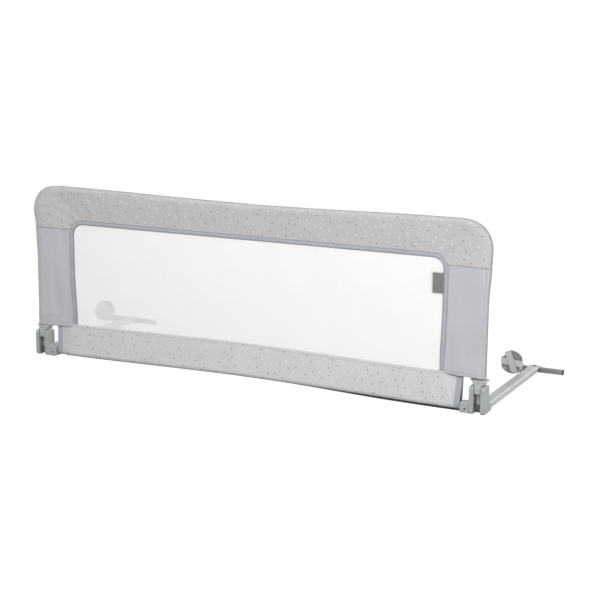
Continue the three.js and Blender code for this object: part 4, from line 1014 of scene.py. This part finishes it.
def band_section(x, proud):
    """Down the front and round the tube: how far forward, how high, and how far down the cloth."""
    centre, outside = tube_line(x), smooth_step(abs(x), window_edge, past_window)
    top = band_top(min(window_half, abs(x))) * (1 - outside) + end_top[side_of(x)] * outside
    span = top - centre
    lean = math.asin((loop_radius - band_thick) / span)
    down = [0, 0.6, 1.6, 3.2, 5.5, 7.0, 7.8, 8.6, 10, 13, *np.linspace(18, span - 3, 9), span]
    profile = []
    for step in down:
        share = step / span
        belly = math.sin(math.pi * share)
        rounding = 1 - (1 - min(1, step / 1.6)) ** 2
        deep = band_thick * rounding + share * (loop_radius * math.cos(lean) - band_thick)
        deep -= fold_sink * bump_at(step, sewn_fold, 0.7)
        deep += wave(0.55, x, step, 60, 40, 41) * belly
        deep += wave(0.3, x, step, 9, 30, 43) * math.exp(-step / 14)
        deep += 0.45 * math.cos(pleats(x)) * gathered(x) * belly
        profile.append((deep + proud, top - step, step))
    reach_out = loop_radius + proud
    arc = [(reach_out * math.cos(angle), centre - reach_out * math.sin(angle), span + loop_radius * angle)
           for angle in np.linspace(0.12, math.pi / 2, 7)]
    return profile, arc


def band_rows(places, proud):
    """Rings of the band at some places along it, standing proud of the cloth, and their UV map."""
    rows, uvs = [], []
    for x in places:
        profile, arc = band_section(x, proud)
        front = [(-d, z, v) for d, z, v in profile + arc]
        back = [(d, z, v) for d, z, v in (profile[1:] + arc[:-1])][::-1]
        end = smooth_step(abs(x), lean_from, 534) * math.copysign(end_lean, x)
        rows.append([spot(x - end * (1 - z / band_high), y, z) for y, z, _ in front + back])
        total = front[-1][2]
        down = [v for _, _, v in front] + [2 * total - v for _, _, v in back] + [2 * total]
        uvs.append([(x + 2000, v) for v in down])
    return np.array(rows), np.array(uvs) * mm


# %% Lower band
end_strip, overlap, fold_column = 14.5, 2, 6
inner_half = band_half - end_strip + overlap
places = [*np.linspace(-inner_half, -502, 28), *np.linspace(-498, 496, 190)]
places += list(np.linspace(500, inner_half, 10))
rows, uvs = band_rows(places, 0.0)
# Painted shade: darker along the sewn fold and in the pleats at the left end
marks = np.zeros(rows.shape[:2])
marks[:, fold_column] = 0.7
for row, x in enumerate(places):
    marks[row] = np.maximum(marks[row], 0.5 * gathered(x) * (0.5 + 0.5 * math.sin(pleats(x))))
speckled_band = skin("speckled_band", rows, band_cloth_painted_lighter, uvs, closed=True, painted_shade_mask=marks)
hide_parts("lower_band", "lower_sleeve")
print("band points:", len(speckled_band.data.vertices))

# %% End strips of the band
strip_proud, end_tuck, tuck_share = 0.6, 7, 0.16
strip_start = band_half - end_strip
strip_steps = [(0, 0.1), (0.8, 0.55), *((step, strip_proud) for step in np.linspace(2.2, end_strip - 0.8, 7)),
               (end_strip, 0.25)]
strips = []
for side, sign in sides.items():
    rings = [band_rows([sign * (strip_start + step)], proud) for step, proud in strip_steps]
    rows = np.concatenate([r for r, _ in rings])
    to_middle = np.array([0, hinge.y, 0]) - rows[-1] * [0, 1, 0]
    tucked = rows[-1] + to_middle * tuck_share - [sign * end_tuck * mm, 0, 0]
    rows = np.concatenate([rows, [tucked]])
    uvs = np.concatenate([u for _, u in rings] + [rings[-1][1] + [end_tuck * mm, 0]])
    uvs = np.stack([uvs[..., 1], np.abs(uvs[..., 0] - 2.0) - strip_start * mm], -1)
    strip = skin(f"end_strip_{side}", rows, end_tape, uvs, closed=True)
    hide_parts(f"band_end_binding_{side}")
    strips.append(strip)
for piece in [speckled_band, *strips]:
    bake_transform(piece)
print("band ends:", [strip.name for strip in strips])

# %% [markdown]
# A dark edge tape closes the sleeve under the tube, and it stands for the band's shadow too: its
# darkness is painted shadow. It shows as a thin black line below the band, strongest from the
# middle to the right. A dark line in the print couldn't stand below the cloth, so it is a narrow
# strip of six points a station, which hangs lower towards the right, darker there with painted
# shadow, and stops just above the floor.

# %% Dark edge tape
tape_from, tape_to, least_drop, more_drop, above_floor = -520, 541, 0.8, 3.6, 0.3
rows, marks = [], []
for x in np.linspace(tape_from, tape_to, 120):
    low = tube_line(x) - loop_radius
    drop = least_drop + more_drop * smooth_step(x, 60, 380)
    middle, bottom = low - 0.4 * drop, max(above_floor, low - drop)
    outline = [(-3.2, low + 1.2), (-3.4, middle), (-3.0, bottom), (-2.2, bottom), (-1.8, middle),
               (-2.0, low + 0.8)]
    rows.append([spot(x, y, z) for y, z in outline])
    # Painted shadow: the tape turns darker towards the right
    marks.append([smooth_step(x, 20, 380)] * len(outline))
painted_shadow_edge_tape = skin("painted_shadow_edge_tape", rows, painted_shadow_tape, closed=True, caps=True, painted_shade_mask=marks)
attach(painted_shadow_edge_tape, "base")
print("edge tape:", painted_shadow_edge_tape.name)

# %% [markdown]
# Each side panel ends in a turned-up hem above the latch collar. It could be the end of the
# panel's own mesh, but the collar pushes it up when the latch is opened, so it is a piece of its
# own. It takes the panel's section at its lowest rung, goes straight down and turns inside, and
# joins the panel without a step.

# %% Side hems
# How far down, how far in, and how much painted shade there, at the fold and inside the hem
hem_profile = ((0, 0.0, 0.9), (0.5, 0.5, 0.7), (1.1, -0.15, 0.1), (3, -0.3, 0), (6, -0.3, 0),
               (8.6, -0.2, 0.1), (9.7, 0.3, 0.3), (10, 0.9, 0.5), (9.4, 1.5, 0.6), (6, 1.6, 0.6),
               (3, 1.6, 0.6))
hem_shares, lowest_rung = {"left": 1.02, "right": 0.72}, {"left": rungs[0], "right": rungs[-1]}
for side in ("left", "right"):
    leg_centre = lowest_rung[side][2]
    outline = np.array(section(lowest_rung[side])[0])
    run = lengths_along(outline[:, [0, 1]])
    rows, uvs, marks = [], [], []
    for drop, inset, mark in hem_profile:
        row = []
        for x, y, _ in outline:
            pull = inset * math.copysign(1, x - leg_centre) * (1 - min(1, abs(y) / spring_depth))
            shrunk = y * (1 - inset / max(2.4, abs(y)))
            row.append(spot(x - pull, shrunk, hem_z - drop * hem_shares[side]))
        rows.append(row)
        uvs.append([(r, drop) for r in run])
        marks.append([mark] * len(run))
    hem = skin(f"side_hem_{side}", rows, plain_cloth, np.array(uvs) * mm, painted_shade_mask=np.array(marks))
    dress(hem, "guard", f"panel_hem_{side}")
    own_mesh(hem)
    print("hem:", hem.name)

# %% [markdown]
# A small folded tab of grey cloth is sewn to the binding at the window's right edge. A thin box
# would look like card. So it is a flat loop, two layers that meet in a soft fold at its free end,
# with the slight curl of a tab that is held on one side only.

# %% Label tab
label_out, label_in, label_low, label_high = 468.0, 494.0, 263.5, 309.5
label_front, label_curl, label_half, edge_share = -3.2, 0.91, 0.42, 0.72
label_shares = (0.0, 0.08, 0.2, 0.35, 0.5, 0.65, 0.8, 0.92, 1.0)
inner_heights = np.linspace(label_low + 1.5, label_high - 1.5, 14)
rows = []
for z in [label_low, label_low + 0.3, *inner_heights, label_high - 0.3, label_high]:
    thick = label_half * (edge_share if z in (label_low, label_high) else 1.0)
    curl = label_curl * ((z - label_low) / (label_high - label_low) - 0.4)
    layer = [(label_in - share * (label_in - label_out), label_front - share * curl)
             for share in label_shares]
    tip = [spot(label_out - 0.5, layer[-1][1], z)]
    front, back = ([spot(x, y + away, z) for x, y in layer] for away in (-thick, thick))
    rows.append(front + tip + back[::-1])
label_tab = skin("label_cloth_tab", rows, label_cloth, closed=True, caps=True)
dress(label_tab, "guard", "label_tab")
print("label:", label_tab.name)

# %% [markdown]
# The tubes of the guard and of the base are round steel tubes, bent by a tube bender. They could
# be curves with a bevel, but a swept grid has the same UV map in metres as the cloth. The helper
# takes a line's points and gives back rings round them, square to the line.


# %% Tubes of the guard and the base
tube_radius, tube_sides, tube_gap = 8.0, 32, 0.15


def tube_rows(line):
    """Rings round a line that lies in the cover's plane; line is in millimetres as (x, z)."""
    line = np.array(line, float)
    way = np.gradient(line, axis=0)
    way /= np.linalg.norm(way, axis=1)[:, None]
    rows = []
    for (x, z), (go_x, go_z) in zip(line, way):
        ring = []
        for angle in np.arange(tube_sides) * 2 * math.pi / tube_sides:
            out, deep = tube_radius * math.cos(angle), tube_radius * math.sin(angle)
            ring.append(spot(x - go_z * out, deep, z + go_x * out))
        rows.append(ring)
    return rows


for side, sign in sides.items():
    leg_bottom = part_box(f"frame_{side}")[0].z / mm
    line = [(sign * leg_x, z) for z in np.linspace(leg_bottom, top_z - bend, 12)]
    for angle in np.linspace(0, math.pi / 2, 17)[1:]:
        line.append((sign * (leg_x - bend + bend * math.cos(angle)), top_z - bend + bend * math.sin(angle)))
    line += [(sign * x, tube_top(x)) for x in np.linspace(leg_x - bend, tube_gap, 30)[1:]]
    tube = skin(f"guard_tube_{side}", tube_rows(line), tube_paint, closed=True, caps=True)
    dress(tube, "guard", f"frame_{side}")
    far = max(abs(corner.x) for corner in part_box(f"bottom_tube_{side}")) / mm
    line = [(sign * x, tube_line(x)) for x in np.linspace(tube_gap, far, 50)]
    tube = skin(f"base_tube_{side}", tube_rows(line), tube_paint, closed=True, caps=True)
    dress(tube, "base", f"bottom_tube_{side}")

# %% [markdown]
# The hinge brackets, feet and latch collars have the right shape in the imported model, but with
# knife-sharp edges. Moulded plastic never has those. A bevel fails where curved faces meet at
# odd angles, so a copy of each is remeshed into small even cells and smoothed a little, which
# rounds every edge by about half a millimetre.


# %% Moulded pieces
def moulded(name, cad_node, body, material, rounds, cell=0.7, softness=0.5):
    source = frame["nodes"][cad_node].data.copy()
    source.materials.clear()
    piece = as_object(name, source, material)
    remesh = piece.modifiers.new("even_cells", "REMESH")
    remesh.mode, remesh.voxel_size = "VOXEL", cell * mm
    soften = piece.modifiers.new("soften", "SMOOTH")
    soften.factor, soften.iterations = softness, rounds
    scene_state = bpy.context.evaluated_depsgraph_get()
    shaped = bpy.data.meshes.new_from_object(piece.evaluated_get(scene_state))
    piece.modifiers.clear()
    piece.data = shaped
    shaped.materials.clear()
    shaped.materials.append(material)
    shaped.shade_smooth()
    shaped.name = name
    dress(piece, body, cad_node)
    print(name, "points:", len(shaped.vertices))


casing_rounds, fitting_rounds = 16, 6
for side in sides:
    for half in ("outer", "inner"):
        moulded(f"clamshell_{half}_{side}", f"bracket_{half}_{side}", "base", bracket_plastic,
                casing_rounds)
    moulded(f"latch_grip_{side}", f"latch_collar_{side}", f"collar_{side}", collar_plastic,
            fitting_rounds)
    moulded(f"knuckle_foot_{side}", f"leg_foot_{side}", "guard", dark_plastic, fitting_rounds)

# %% [markdown]
# Each arm is a flat-oval steel tube. Its section is a stadium, two half circles joined by flats,
# and over its last stretch the press squeezes it down to a thin plate for the rivet. The section
# is written once with its own width and height at each station, and the pressed end eases out of
# the oval as the real one does.


# %% Arms
def stadium(width, height, count=48):
    """A closed ring of points, rounded at both ends."""
    ring, straight, end_radius = [], (width - height) / 2, height / 2
    for step in range(count):
        angle = 2 * math.pi * (step + 0.5) / count
        x = math.copysign(straight, math.cos(angle)) + end_radius * math.cos(angle)
        ring.append((x, end_radius * math.sin(angle)))
    return ring


arm_x, arm_low, arm_wide, arm_tall, press_from, press_to = 586.5, 1.8, 30.0, 15.0, 387.0, 399.5
plate_thick, plate_top, end_trim = 2.4, 15.1, 0.5
arm_middle, plate_middle = arm_low + arm_tall / 2, plate_top - plate_thick / 2
for side, sign in sides.items():
    start, end = ((corner.y - hinge.y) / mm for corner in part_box(f"arm_{side}"))
    oval, pressing = np.linspace(start + 5, press_from - 3, 26), np.linspace(press_from, press_to, 13)
    plate = np.linspace(press_to + 2, end - 0.9, 7)
    rows = []
    for y in [start, start + 0.6, *oval, *pressing, *plate, end - 0.25, end]:
        pressed = smooth_step(y, press_from, press_to)
        tall = arm_tall + (plate_thick - arm_tall) * pressed ** 0.85
        centre = arm_middle + (plate_middle - arm_middle) * pressed
        trim = end_trim if y in (start, end) else 0.0
        ring = stadium(arm_wide - 2 * trim, tall - trim)
        rows.append([spot(sign * arm_x + a, y, centre + b) for a, b in ring])
    arm = skin(f"flat_arm_{side}", rows, tube_paint, closed=True, caps=True, sharp=40)
    dress(arm, "base", f"arm_{side}")
    print("arm:", arm.name, round(end - start), "mm")

# %% [markdown]
# The crossbars are square tube with rounded corners, closed at both ends by moulded caps. The
# same rounded square makes both, swept along the bar with its own size and corner at each
# station, because a cap is a plug inside the tube, a flange against its end and a domed face.


# %% Crossbars and caps
def rounded_square(side_length, corner, steps=5):
    ring, flat = [], side_length / 2 - corner
    for quarter in range(4):
        middle_angle = math.pi / 4 + quarter * math.pi / 2
        for step in range(steps + 1):
            angle = (quarter + step / steps) * math.pi / 2
            ring.append(tuple(flat * math.copysign(1, part(middle_angle)) + corner * part(angle)
                              for part in (math.cos, math.sin)))
    return ring


def box_rows(stations, y, z):
    """Rounded squares along the rail: each station is its place, its size and its corner's radius."""
    return [[spot(x, y + a, z + b) for a, b in rounded_square(wide, corner)] for x, wide, corner in stations]


def bar_middle(side):
    """How far behind the cover's middle, and how high, a crossbar's middle line lies."""
    low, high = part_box(f"crossbar_{side}")
    return ((low.y + high.y) / 2 - hinge.y) / mm, (low.z + high.z) / 2 / mm


bar_side, bar_corner, cap_side, flange, plug = 12.0, 2.0, 12.8, 3.0, 8.6
# How far in from the cap's outer face, how much narrower than the cap, and the corner's radius
cap_face = [(flange, 0.4, 2.2), (flange - 0.3, 0, 2.4), (0.9, 0, 2.4), (0.3, 0.6, 2.3), (0, 1.8, 2.0)]
for side in sides:
    middle = bar_middle(side)
    ends = [corner.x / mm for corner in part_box(f"crossbar_{side}")]
    rows = box_rows([(x, bar_side, bar_corner) for x in np.linspace(*ends, 9)], *middle)
    bar = skin(f"square_bar_{side}", rows, bar_paint, closed=True, caps=True, sharp=60)
    dress(bar, "base", f"crossbar_{side}")
    for end, way in sides.items():
        low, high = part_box(f"bar_cap_{end}_{side}")
        inner, outer = (low.x / mm, high.x / mm) if way > 0 else (high.x / mm, low.x / mm)
        stations = [(inner, plug - 0.2, 1.0), (outer - way * flange, plug, 1.0)]
        stations += [(outer - way * inset, cap_side - less, corner) for inset, less, corner in cap_face]
        rows = box_rows([*stations, (outer, 0.2, 0.05)], *middle)
        cap = skin(f"end_cap_{end}_{side}", rows, dark_plastic, closed=True, caps=True, sharp=35)
        dress(cap, "base", f"bar_cap_{end}_{side}")

# %% [markdown]
# Rivets, buttons and screws are turned pieces: a profile spun round an axis, as on a lathe. A
# screw's cross recess could be cut with a boolean, but pressing the middle of its head down along
# two narrow arms keeps the mesh in clean rings.


# %% Turned fasteners
recess_reach, recess_arm, head_rings, around = 0.62, 0.16, 6, 40


def turned(name, cad_node, body, material, axis, outward, profile, cross=0.0):
    """profile: radius and depth below the head's outer face, in millimetres, from there inward."""
    low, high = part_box(cad_node)
    centre = (low + high) / 2 / mm
    face = (high if outward > 0 else low)[axis] / mm
    others = [i for i in range(3) if i != axis]
    widest, head_edge = max(radius for radius, _ in profile), profile[head_rings - 1][0]
    rows = []
    for radius, depth in profile:
        ring = []
        for angle in np.arange(around) * 2 * math.pi / around:
            offset = (radius * math.cos(angle), radius * math.sin(angle))
            in_arm = min(abs(offset[0]), abs(offset[1])) < recess_arm * widest
            pressed = cross if in_arm and radius < recess_reach * head_edge else 0.0
            point = [0.0, 0.0, 0.0]
            point[axis] = (face - outward * (depth + pressed)) * mm
            for other, shift in zip(others, offset):
                point[other] = (centre[other] + shift) * mm
            ring.append(point)
        rows.append(ring)
    piece = skin(name, rows, material, closed=True, caps=True, sharp=38)
    dress(piece, body, cad_node)
    print("turned:", name)


along, behind, upright = 0, 1, 2
rivet = [(0.3, 0.02), (1.2, 0.05), (2.4, 0.3), (3.4, 0.75), (4.1, 1.25), (4.45, 1.65), (4.5, 1.8),
         (2.5, 1.85), (2.5, 4.5), (2.5, 6.2), (3.5, 6.4), (3.2, 7.6), (1.5, 8.25)]
lug_bolt = [(0.2, 0.1), (0.5, 0.08), (0.8, 0.1), (1.1, 0.14), (1.4, 0.26), (1.75, 0.5), (2.0, 0.95),
            (2.0, 1.9), (1.4, 2.0), (1.4, 11.6), (0.3, 12.7)]
clamp_bolt = [(0.3, 0.1), (0.8, 0.1), (1.2, 0.14), (1.7, 0.25), (2.3, 0.5), (2.8, 0.9), (3.0, 1.3),
              (3.0, 2.3), (1.7, 2.4), (1.7, 30.0), (0.4, 31.2)]
button_tip = [(0.3, 0.02), (1.0, 0.08), (1.9, 0.4), (2.6, 0.95), (2.95, 1.6), (3.0, 2.2)]
for side, sign in sides.items():
    turned(f"rivet_{side}", f"crossbar_rivet_{side}", "base", dull_steel, upright, 1, rivet)
    low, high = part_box(f"arm_button_{side}")
    reach_in = (high.x - low.x) / mm
    button = [*button_tip, (3.0, reach_in - 1.1), (3.9, reach_in - 1.0), (4.0, reach_in - 0.9),
              (4.0, reach_in)]
    turned(f"snap_button_{side}", f"arm_button_{side}", f"button_{side}", zinc, along, sign, button)
    # The lug screw is near black: painted shade for the dark recess it sits in
    turned(f"lug_bolt_{side}", f"lug_screw_{side}", "base", black_steel_painted_shade, behind, -1, lug_bolt, cross=0.5)
    for level_name in ("lower", "upper"):
        turned(f"clamp_bolt_{level_name}_{side}", f"bracket_screw_{level_name}_{side}", "base", zinc, along,
               -sign, clamp_bolt, cross=0.8)

# %% [markdown]
# Inside each latch collar's cover sits a coil spring. A screw modifier could make it, but its
# ends would be hard to place, so it is a round wire swept along a helix.

# %% Latch springs
wire, coil, curls, spring_low, spring_rise, spring_keep = 0.55, 9.2, 6, 77.8, 21.9, 0.635
curl_steps, wire_sides = 36, 10
wire_angles = np.arange(wire_sides) * 2 * math.pi / wire_sides
for side, sign in sides.items():
    rows = []
    for step in range(curls * curl_steps + 1):
        angle = step / curl_steps * 2 * math.pi
        out = np.array([math.cos(angle), math.sin(angle), 0.0])
        z = spring_low + wire + step / (curls * curl_steps) * (spring_rise - 2 * wire)
        middle = spot(sign * leg_x, 0, z) + out * coil * mm
        rows.append([middle + (out * math.cos(a) + np.array([0, 0, math.sin(a)])) * wire * mm
                     for a in wire_angles])
    spring = skin(f"coil_spring_{side}", rows, zinc, closed=True, caps=True)
    dress(spring, "guard", f"latch_spring_{side}")
    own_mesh(spring)
    print("spring:", spring.name)

# %% [markdown]
# Each strap is wound on a flat disc with two notches in its rim, and flats where the strap turns
# over it. A cylinder with cuts would leave ragged edges. So the disc's outline is a formula, a
# circle with a round bite at each notch and a chord at each flat, and rings inside that outline
# form the web, the thicker rim and its rounded edge.

# %% Strap discs
disc_radius, disc_half, disc_web, disc_rim, bite, bite_centre = 29.0, 2.0, 1.2, 4.0, 7.0, 31.0
strap_bed, bed_half, bed_ease, hub_radius = 22.5, 9.5, 0.04, 0.3
steep, flat_run = math.radians(110), math.radians(175)
bites = [(steep + flat_run) / 2, (steep + flat_run) / 2 + math.pi]
beds = [steep, steep + math.pi, flat_run, flat_run + math.pi]
disc_places = {"right": (549.7, 344.0, 36.0, 0.0), "left": (-644.3, 360.5, 37.5, math.radians(30))}
# Inset from the outline and depth behind the disc's middle, from the front's web to the edge
rim_profile = [(disc_rim + disc_web, -disc_web), (disc_rim + 0.4, -disc_web - 0.1),
               (disc_rim, -disc_half + 0.15), (disc_rim - 0.5, -disc_half), (1.6, -disc_half),
               (0.7, -disc_half + 0.35), (0.15, -disc_half + 1.1)]


def disc_outline(angle):
    """Distance from the disc's middle to its rim, with the bites and the straps' beds taken out."""
    reach_out, bed_angle = disc_radius, math.atan(bed_half / strap_bed)
    for centre in beds:
        apart = abs(math.remainder(angle - centre, 2 * math.pi))
        if apart < bed_angle + bed_ease:
            past = max(0.0, apart - bed_angle) / bed_ease
            flat = strap_bed / math.cos(min(apart, bed_angle))
            reach_out = min(reach_out, flat + past * (disc_radius - flat))
    for centre in bites:
        apart = math.remainder(angle - centre, 2 * math.pi)
        inside = bite ** 2 - (bite_centre * math.sin(apart)) ** 2
        if inside > 0 and math.cos(apart) > 0:
            reach_out = min(reach_out, bite_centre * math.cos(apart) - math.sqrt(inside))
    return reach_out


def disc_spin(side):
    """Turns the disc's own directions into the rail's."""
    cosine, sine = math.cos(disc_places[side][3]), math.sin(disc_places[side][3])
    return np.array([[cosine, -sine, 0], [sine, cosine, 0], [0, 0, 1]])


disc_angles = np.arange(240) * 2 * math.pi / 240
outline = [disc_outline(angle) for angle in disc_angles]
middle_ring = [hub_radius] * len(outline)
front_rings = [([edge - inset for edge in outline], deep) for inset, deep in rim_profile]
back_rings = [(ring, -deep) for ring, deep in front_rings[::-1]]
rings = [(middle_ring, -disc_web), *front_rings, (outline, 0), *back_rings, (middle_ring, disc_web)]
for side in sides:
    place, spin = np.array(disc_places[side][:3]), disc_spin(side)
    rows = [[spot(*(place + spin @ (r * math.cos(a), deep, r * math.sin(a))))
             for r, a in zip(ring, disc_angles)] for ring, deep in rings]
    disc = skin(f"winding_disc_{side}", rows, disc_plastic, closed=True, caps=True, sharp=55)
    dress(disc, "base", f"strap_disc_{side}")
    print("disc:", disc.name)

# %% [markdown]
# The strap starts behind the disc, crosses its front three times in two directions, turns behind
# it between the runs, and then goes down to the crossbar and once round it. A flat ribbon laid
# over the disc would pass through itself where the runs cross. So every run lies one layer
# further out than the last, and a station is a point with the strap's crosswise direction there.

# %% Stations of the wound part
strap_wide, strap_thick, layer_step, strap_clear = 18.0, 1.0, 1.5, 0.3
quarter_turn, rim_steps, back_steps = math.pi / 2, 12, 14
start_shares, front_shares = (0.4, 0.7, 1.0), (0.6, 0.2, -0.2, -0.6, -1.0)


def layer_height(layer):
    return disc_half + strap_clear + strap_thick / 2 + layer_step * layer


def spoke(angle):
    return np.array([math.cos(angle), 0.0, math.sin(angle)])


def over_rim(angle, layer, start, end, steps):
    """Round the rim at a bed, from one side of the disc towards the other."""
    across = spoke(angle + (-quarter_turn if start < end else quarter_turn))
    stations = []
    for step in range(1, steps + 1):
        turn_by = start + step / steps * (end - start)
        point = spoke(angle) * (strap_bed + layer_height(layer) * math.cos(turn_by))
        stations.append((point + [0, layer_height(layer) * math.sin(turn_by), 0], across))
    return stations


def behind_disc(leave, onward, layer):
    """An arc in the plane behind the disc, from the bed that one run leaves to the next run's bed."""
    half_angle, way = abs(onward - leave) / 2, math.copysign(1, onward - leave)
    centre = spoke((leave + onward) / 2) * strap_bed / math.cos(half_angle)
    stations = []
    for step in range(1, back_steps + 1):
        share = step / back_steps
        back = spoke((leave + onward) / 2 + math.pi + way * (1 - 2 * share) * (quarter_turn - half_angle))
        point = centre + back * strap_bed * math.tan(half_angle) + [0, layer_height(layer + share), 0]
        stations.append((point, back * way))
    return stations


def winding():
    """All stations of the wound part, in the disc's own frame."""
    steep_run, level_run = (steep, steep - math.pi), (flat_run - math.pi, flat_run)
    runs = [steep_run, level_run, steep_run]
    first = runs[0][0]
    stations = [(spoke(first) * strap_bed * share + [0, layer_height(0), 0], spoke(first + quarter_turn))
                for share in start_shares]
    for layer, (start, leave) in enumerate(runs):
        stations += over_rim(start, layer, quarter_turn, -quarter_turn, rim_steps)
        lift, across = np.array([0, -layer_height(layer), 0]), spoke(start + quarter_turn)
        stations += [(spoke(start) * strap_bed * share + lift, across) for share in front_shares]
        if layer + 1 < len(runs):
            stations += over_rim(leave, layer, -quarter_turn, quarter_turn, rim_steps)
            stations += behind_disc(leave, runs[layer + 1][0], layer)
    return stations + over_rim(leave, layer, -quarter_turn, 0, rim_steps // 2)


# %% [markdown]
# The strap's tail hangs from the rim to the crossbar. It eases from the winding's direction to
# the bar's in a soft S, as a strap that is not quite tight does, and wraps the bar's four sides
# with the bar's own rounded corners, a strap's thickness further out.

# %% Stations of the tail
tail_steps, corner_steps, end_gap = 16, 6, 2.2
over_bar = bar_side / 2 + strap_clear + strap_thick / 2
over_corner = bar_corner + strap_clear + strap_thick / 2
flat_way = np.array([-1.0, 0, 0])


def tail(side, start, start_across):
    """From the disc down to the crossbar and round it, in the rail's frame, in millimetres."""
    bar_y, bar_z = bar_middle(side)
    over, stations = disc_places[side][0], []
    target = np.array([over, bar_y - over_bar - over_corner, bar_z - over_bar])
    for step in range(1, tail_steps + 1):
        share = step / tail_steps
        eased = (1 - math.cos(math.pi * share)) / 2
        place = start + (target - start) * [eased, share, eased]
        stations.append((place, start_across * (1 - eased) + flat_way * eased))
    for out_y, out_z, from_angle in ((1, -1, -quarter_turn), (1, 1, 0), (-1, 1, quarter_turn)):
        for step in range(corner_steps + 1):
            angle = from_angle + step / corner_steps * quarter_turn
            y = bar_y + out_y * (over_bar - over_corner) + over_corner * math.cos(angle)
            z = bar_z + out_z * (over_bar - over_corner) + over_corner * math.sin(angle)
            stations.append((np.array([over, y, z]), flat_way))
    stations.append((np.array([over, bar_y - over_bar, bar_z - over_bar + end_gap]), flat_way))
    return stations


# %% [markdown]
# The webbing is a flat band with firm, slightly thicker edges. A curve with a bevel would twist
# as it liked between its points. Here every station says which way the strap's width lies, and
# the ribbon's section is set square to the route there.

# %% Straps
ribbon = [(-1, -0.3), (-0.97, -0.85), (-0.9, -1), (-0.5, -0.94), (0, -1), (0.5, -0.94), (0.9, -1),
          (0.97, -0.85), (1, -0.3)]
ribbon += [(a, -b) for a, b in ribbon[::-1]]
for side in sides:
    place, spin = np.array(disc_places[side][:3]), disc_spin(side)
    route = [(spin @ point + place, spin @ across) for point, across in winding()]
    route += tail(side, *route[-1])
    places = np.array([point for point, _ in route])
    ways = np.array([across / np.linalg.norm(across) for _, across in route])
    normals = np.cross(np.gradient(places, axis=0), ways)
    normals /= np.linalg.norm(normals, axis=1)[:, None]
    rows = [[spot(*(place + way * a * strap_wide / 2 + up * b * strap_thick / 2)) for a, b in ribbon]
            for place, way, up in zip(places, ways, normals)]
    gone = lengths_along(places)
    width = [0.5 * (1 + a) * strap_wide for a, _ in ribbon] + [0]
    uvs = np.array([[(length, v) for v in width] for length in gone]) * mm
    # Painted shade: darker along both edges of the strap
    marks = [[smooth_step(abs(a), 0.86, 0.99) for a, _ in ribbon]] * len(rows)
    strap = skin(f"webbing_{side}", rows, webbing, uvs, closed=True, caps=True, painted_shade_mask=marks, sharp=65)
    dress(strap, "base", f"strap_{side}")
    print("strap", side, round(gone[-1]), "mm")

# %% [markdown]
# A leaf spring stands behind each snap button and is pressed flatter with it. Its shape in the
# imported model is right, and hidden at that, so it isn't built again: the piece is a copy.

# %% Leaf springs
for side, sign in sides.items():
    bent_strip = frame["nodes"][f"button_spring_{side}"].data.copy()
    bent_strip.materials.clear()
    leaf = as_object(f"leaf_spring_{side}", bent_strip, zinc)
    bent_strip.shade_smooth()
    bent_strip.set_sharp_from_angle(angle=math.radians(40))
    dress(leaf, "base", f"button_spring_{side}")
    low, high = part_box(f"button_spring_{side}")
    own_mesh(leaf)
    print("leaf spring:", leaf.name)

# %% [markdown]
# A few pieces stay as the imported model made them, because the cover or the brackets hide them:
# the ferrules inside the tubes, the hinge pins and the stop rings. They get the same finishes as
# the pieces around them.

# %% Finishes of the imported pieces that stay
kept = {"ferrule": zinc, "hinge_pin": zinc, "spring_stop": dark_plastic}
for name, piece in frame["nodes"].items():
    if not piece.hide_render:
        material = next(m for word, m in kept.items() if word in name)
        piece.data.materials.clear()
        piece.data.materials.append(material)
        print("kept:", name)

# %% [markdown]
# The last cell ends the script.

# %% Finish
print("done")
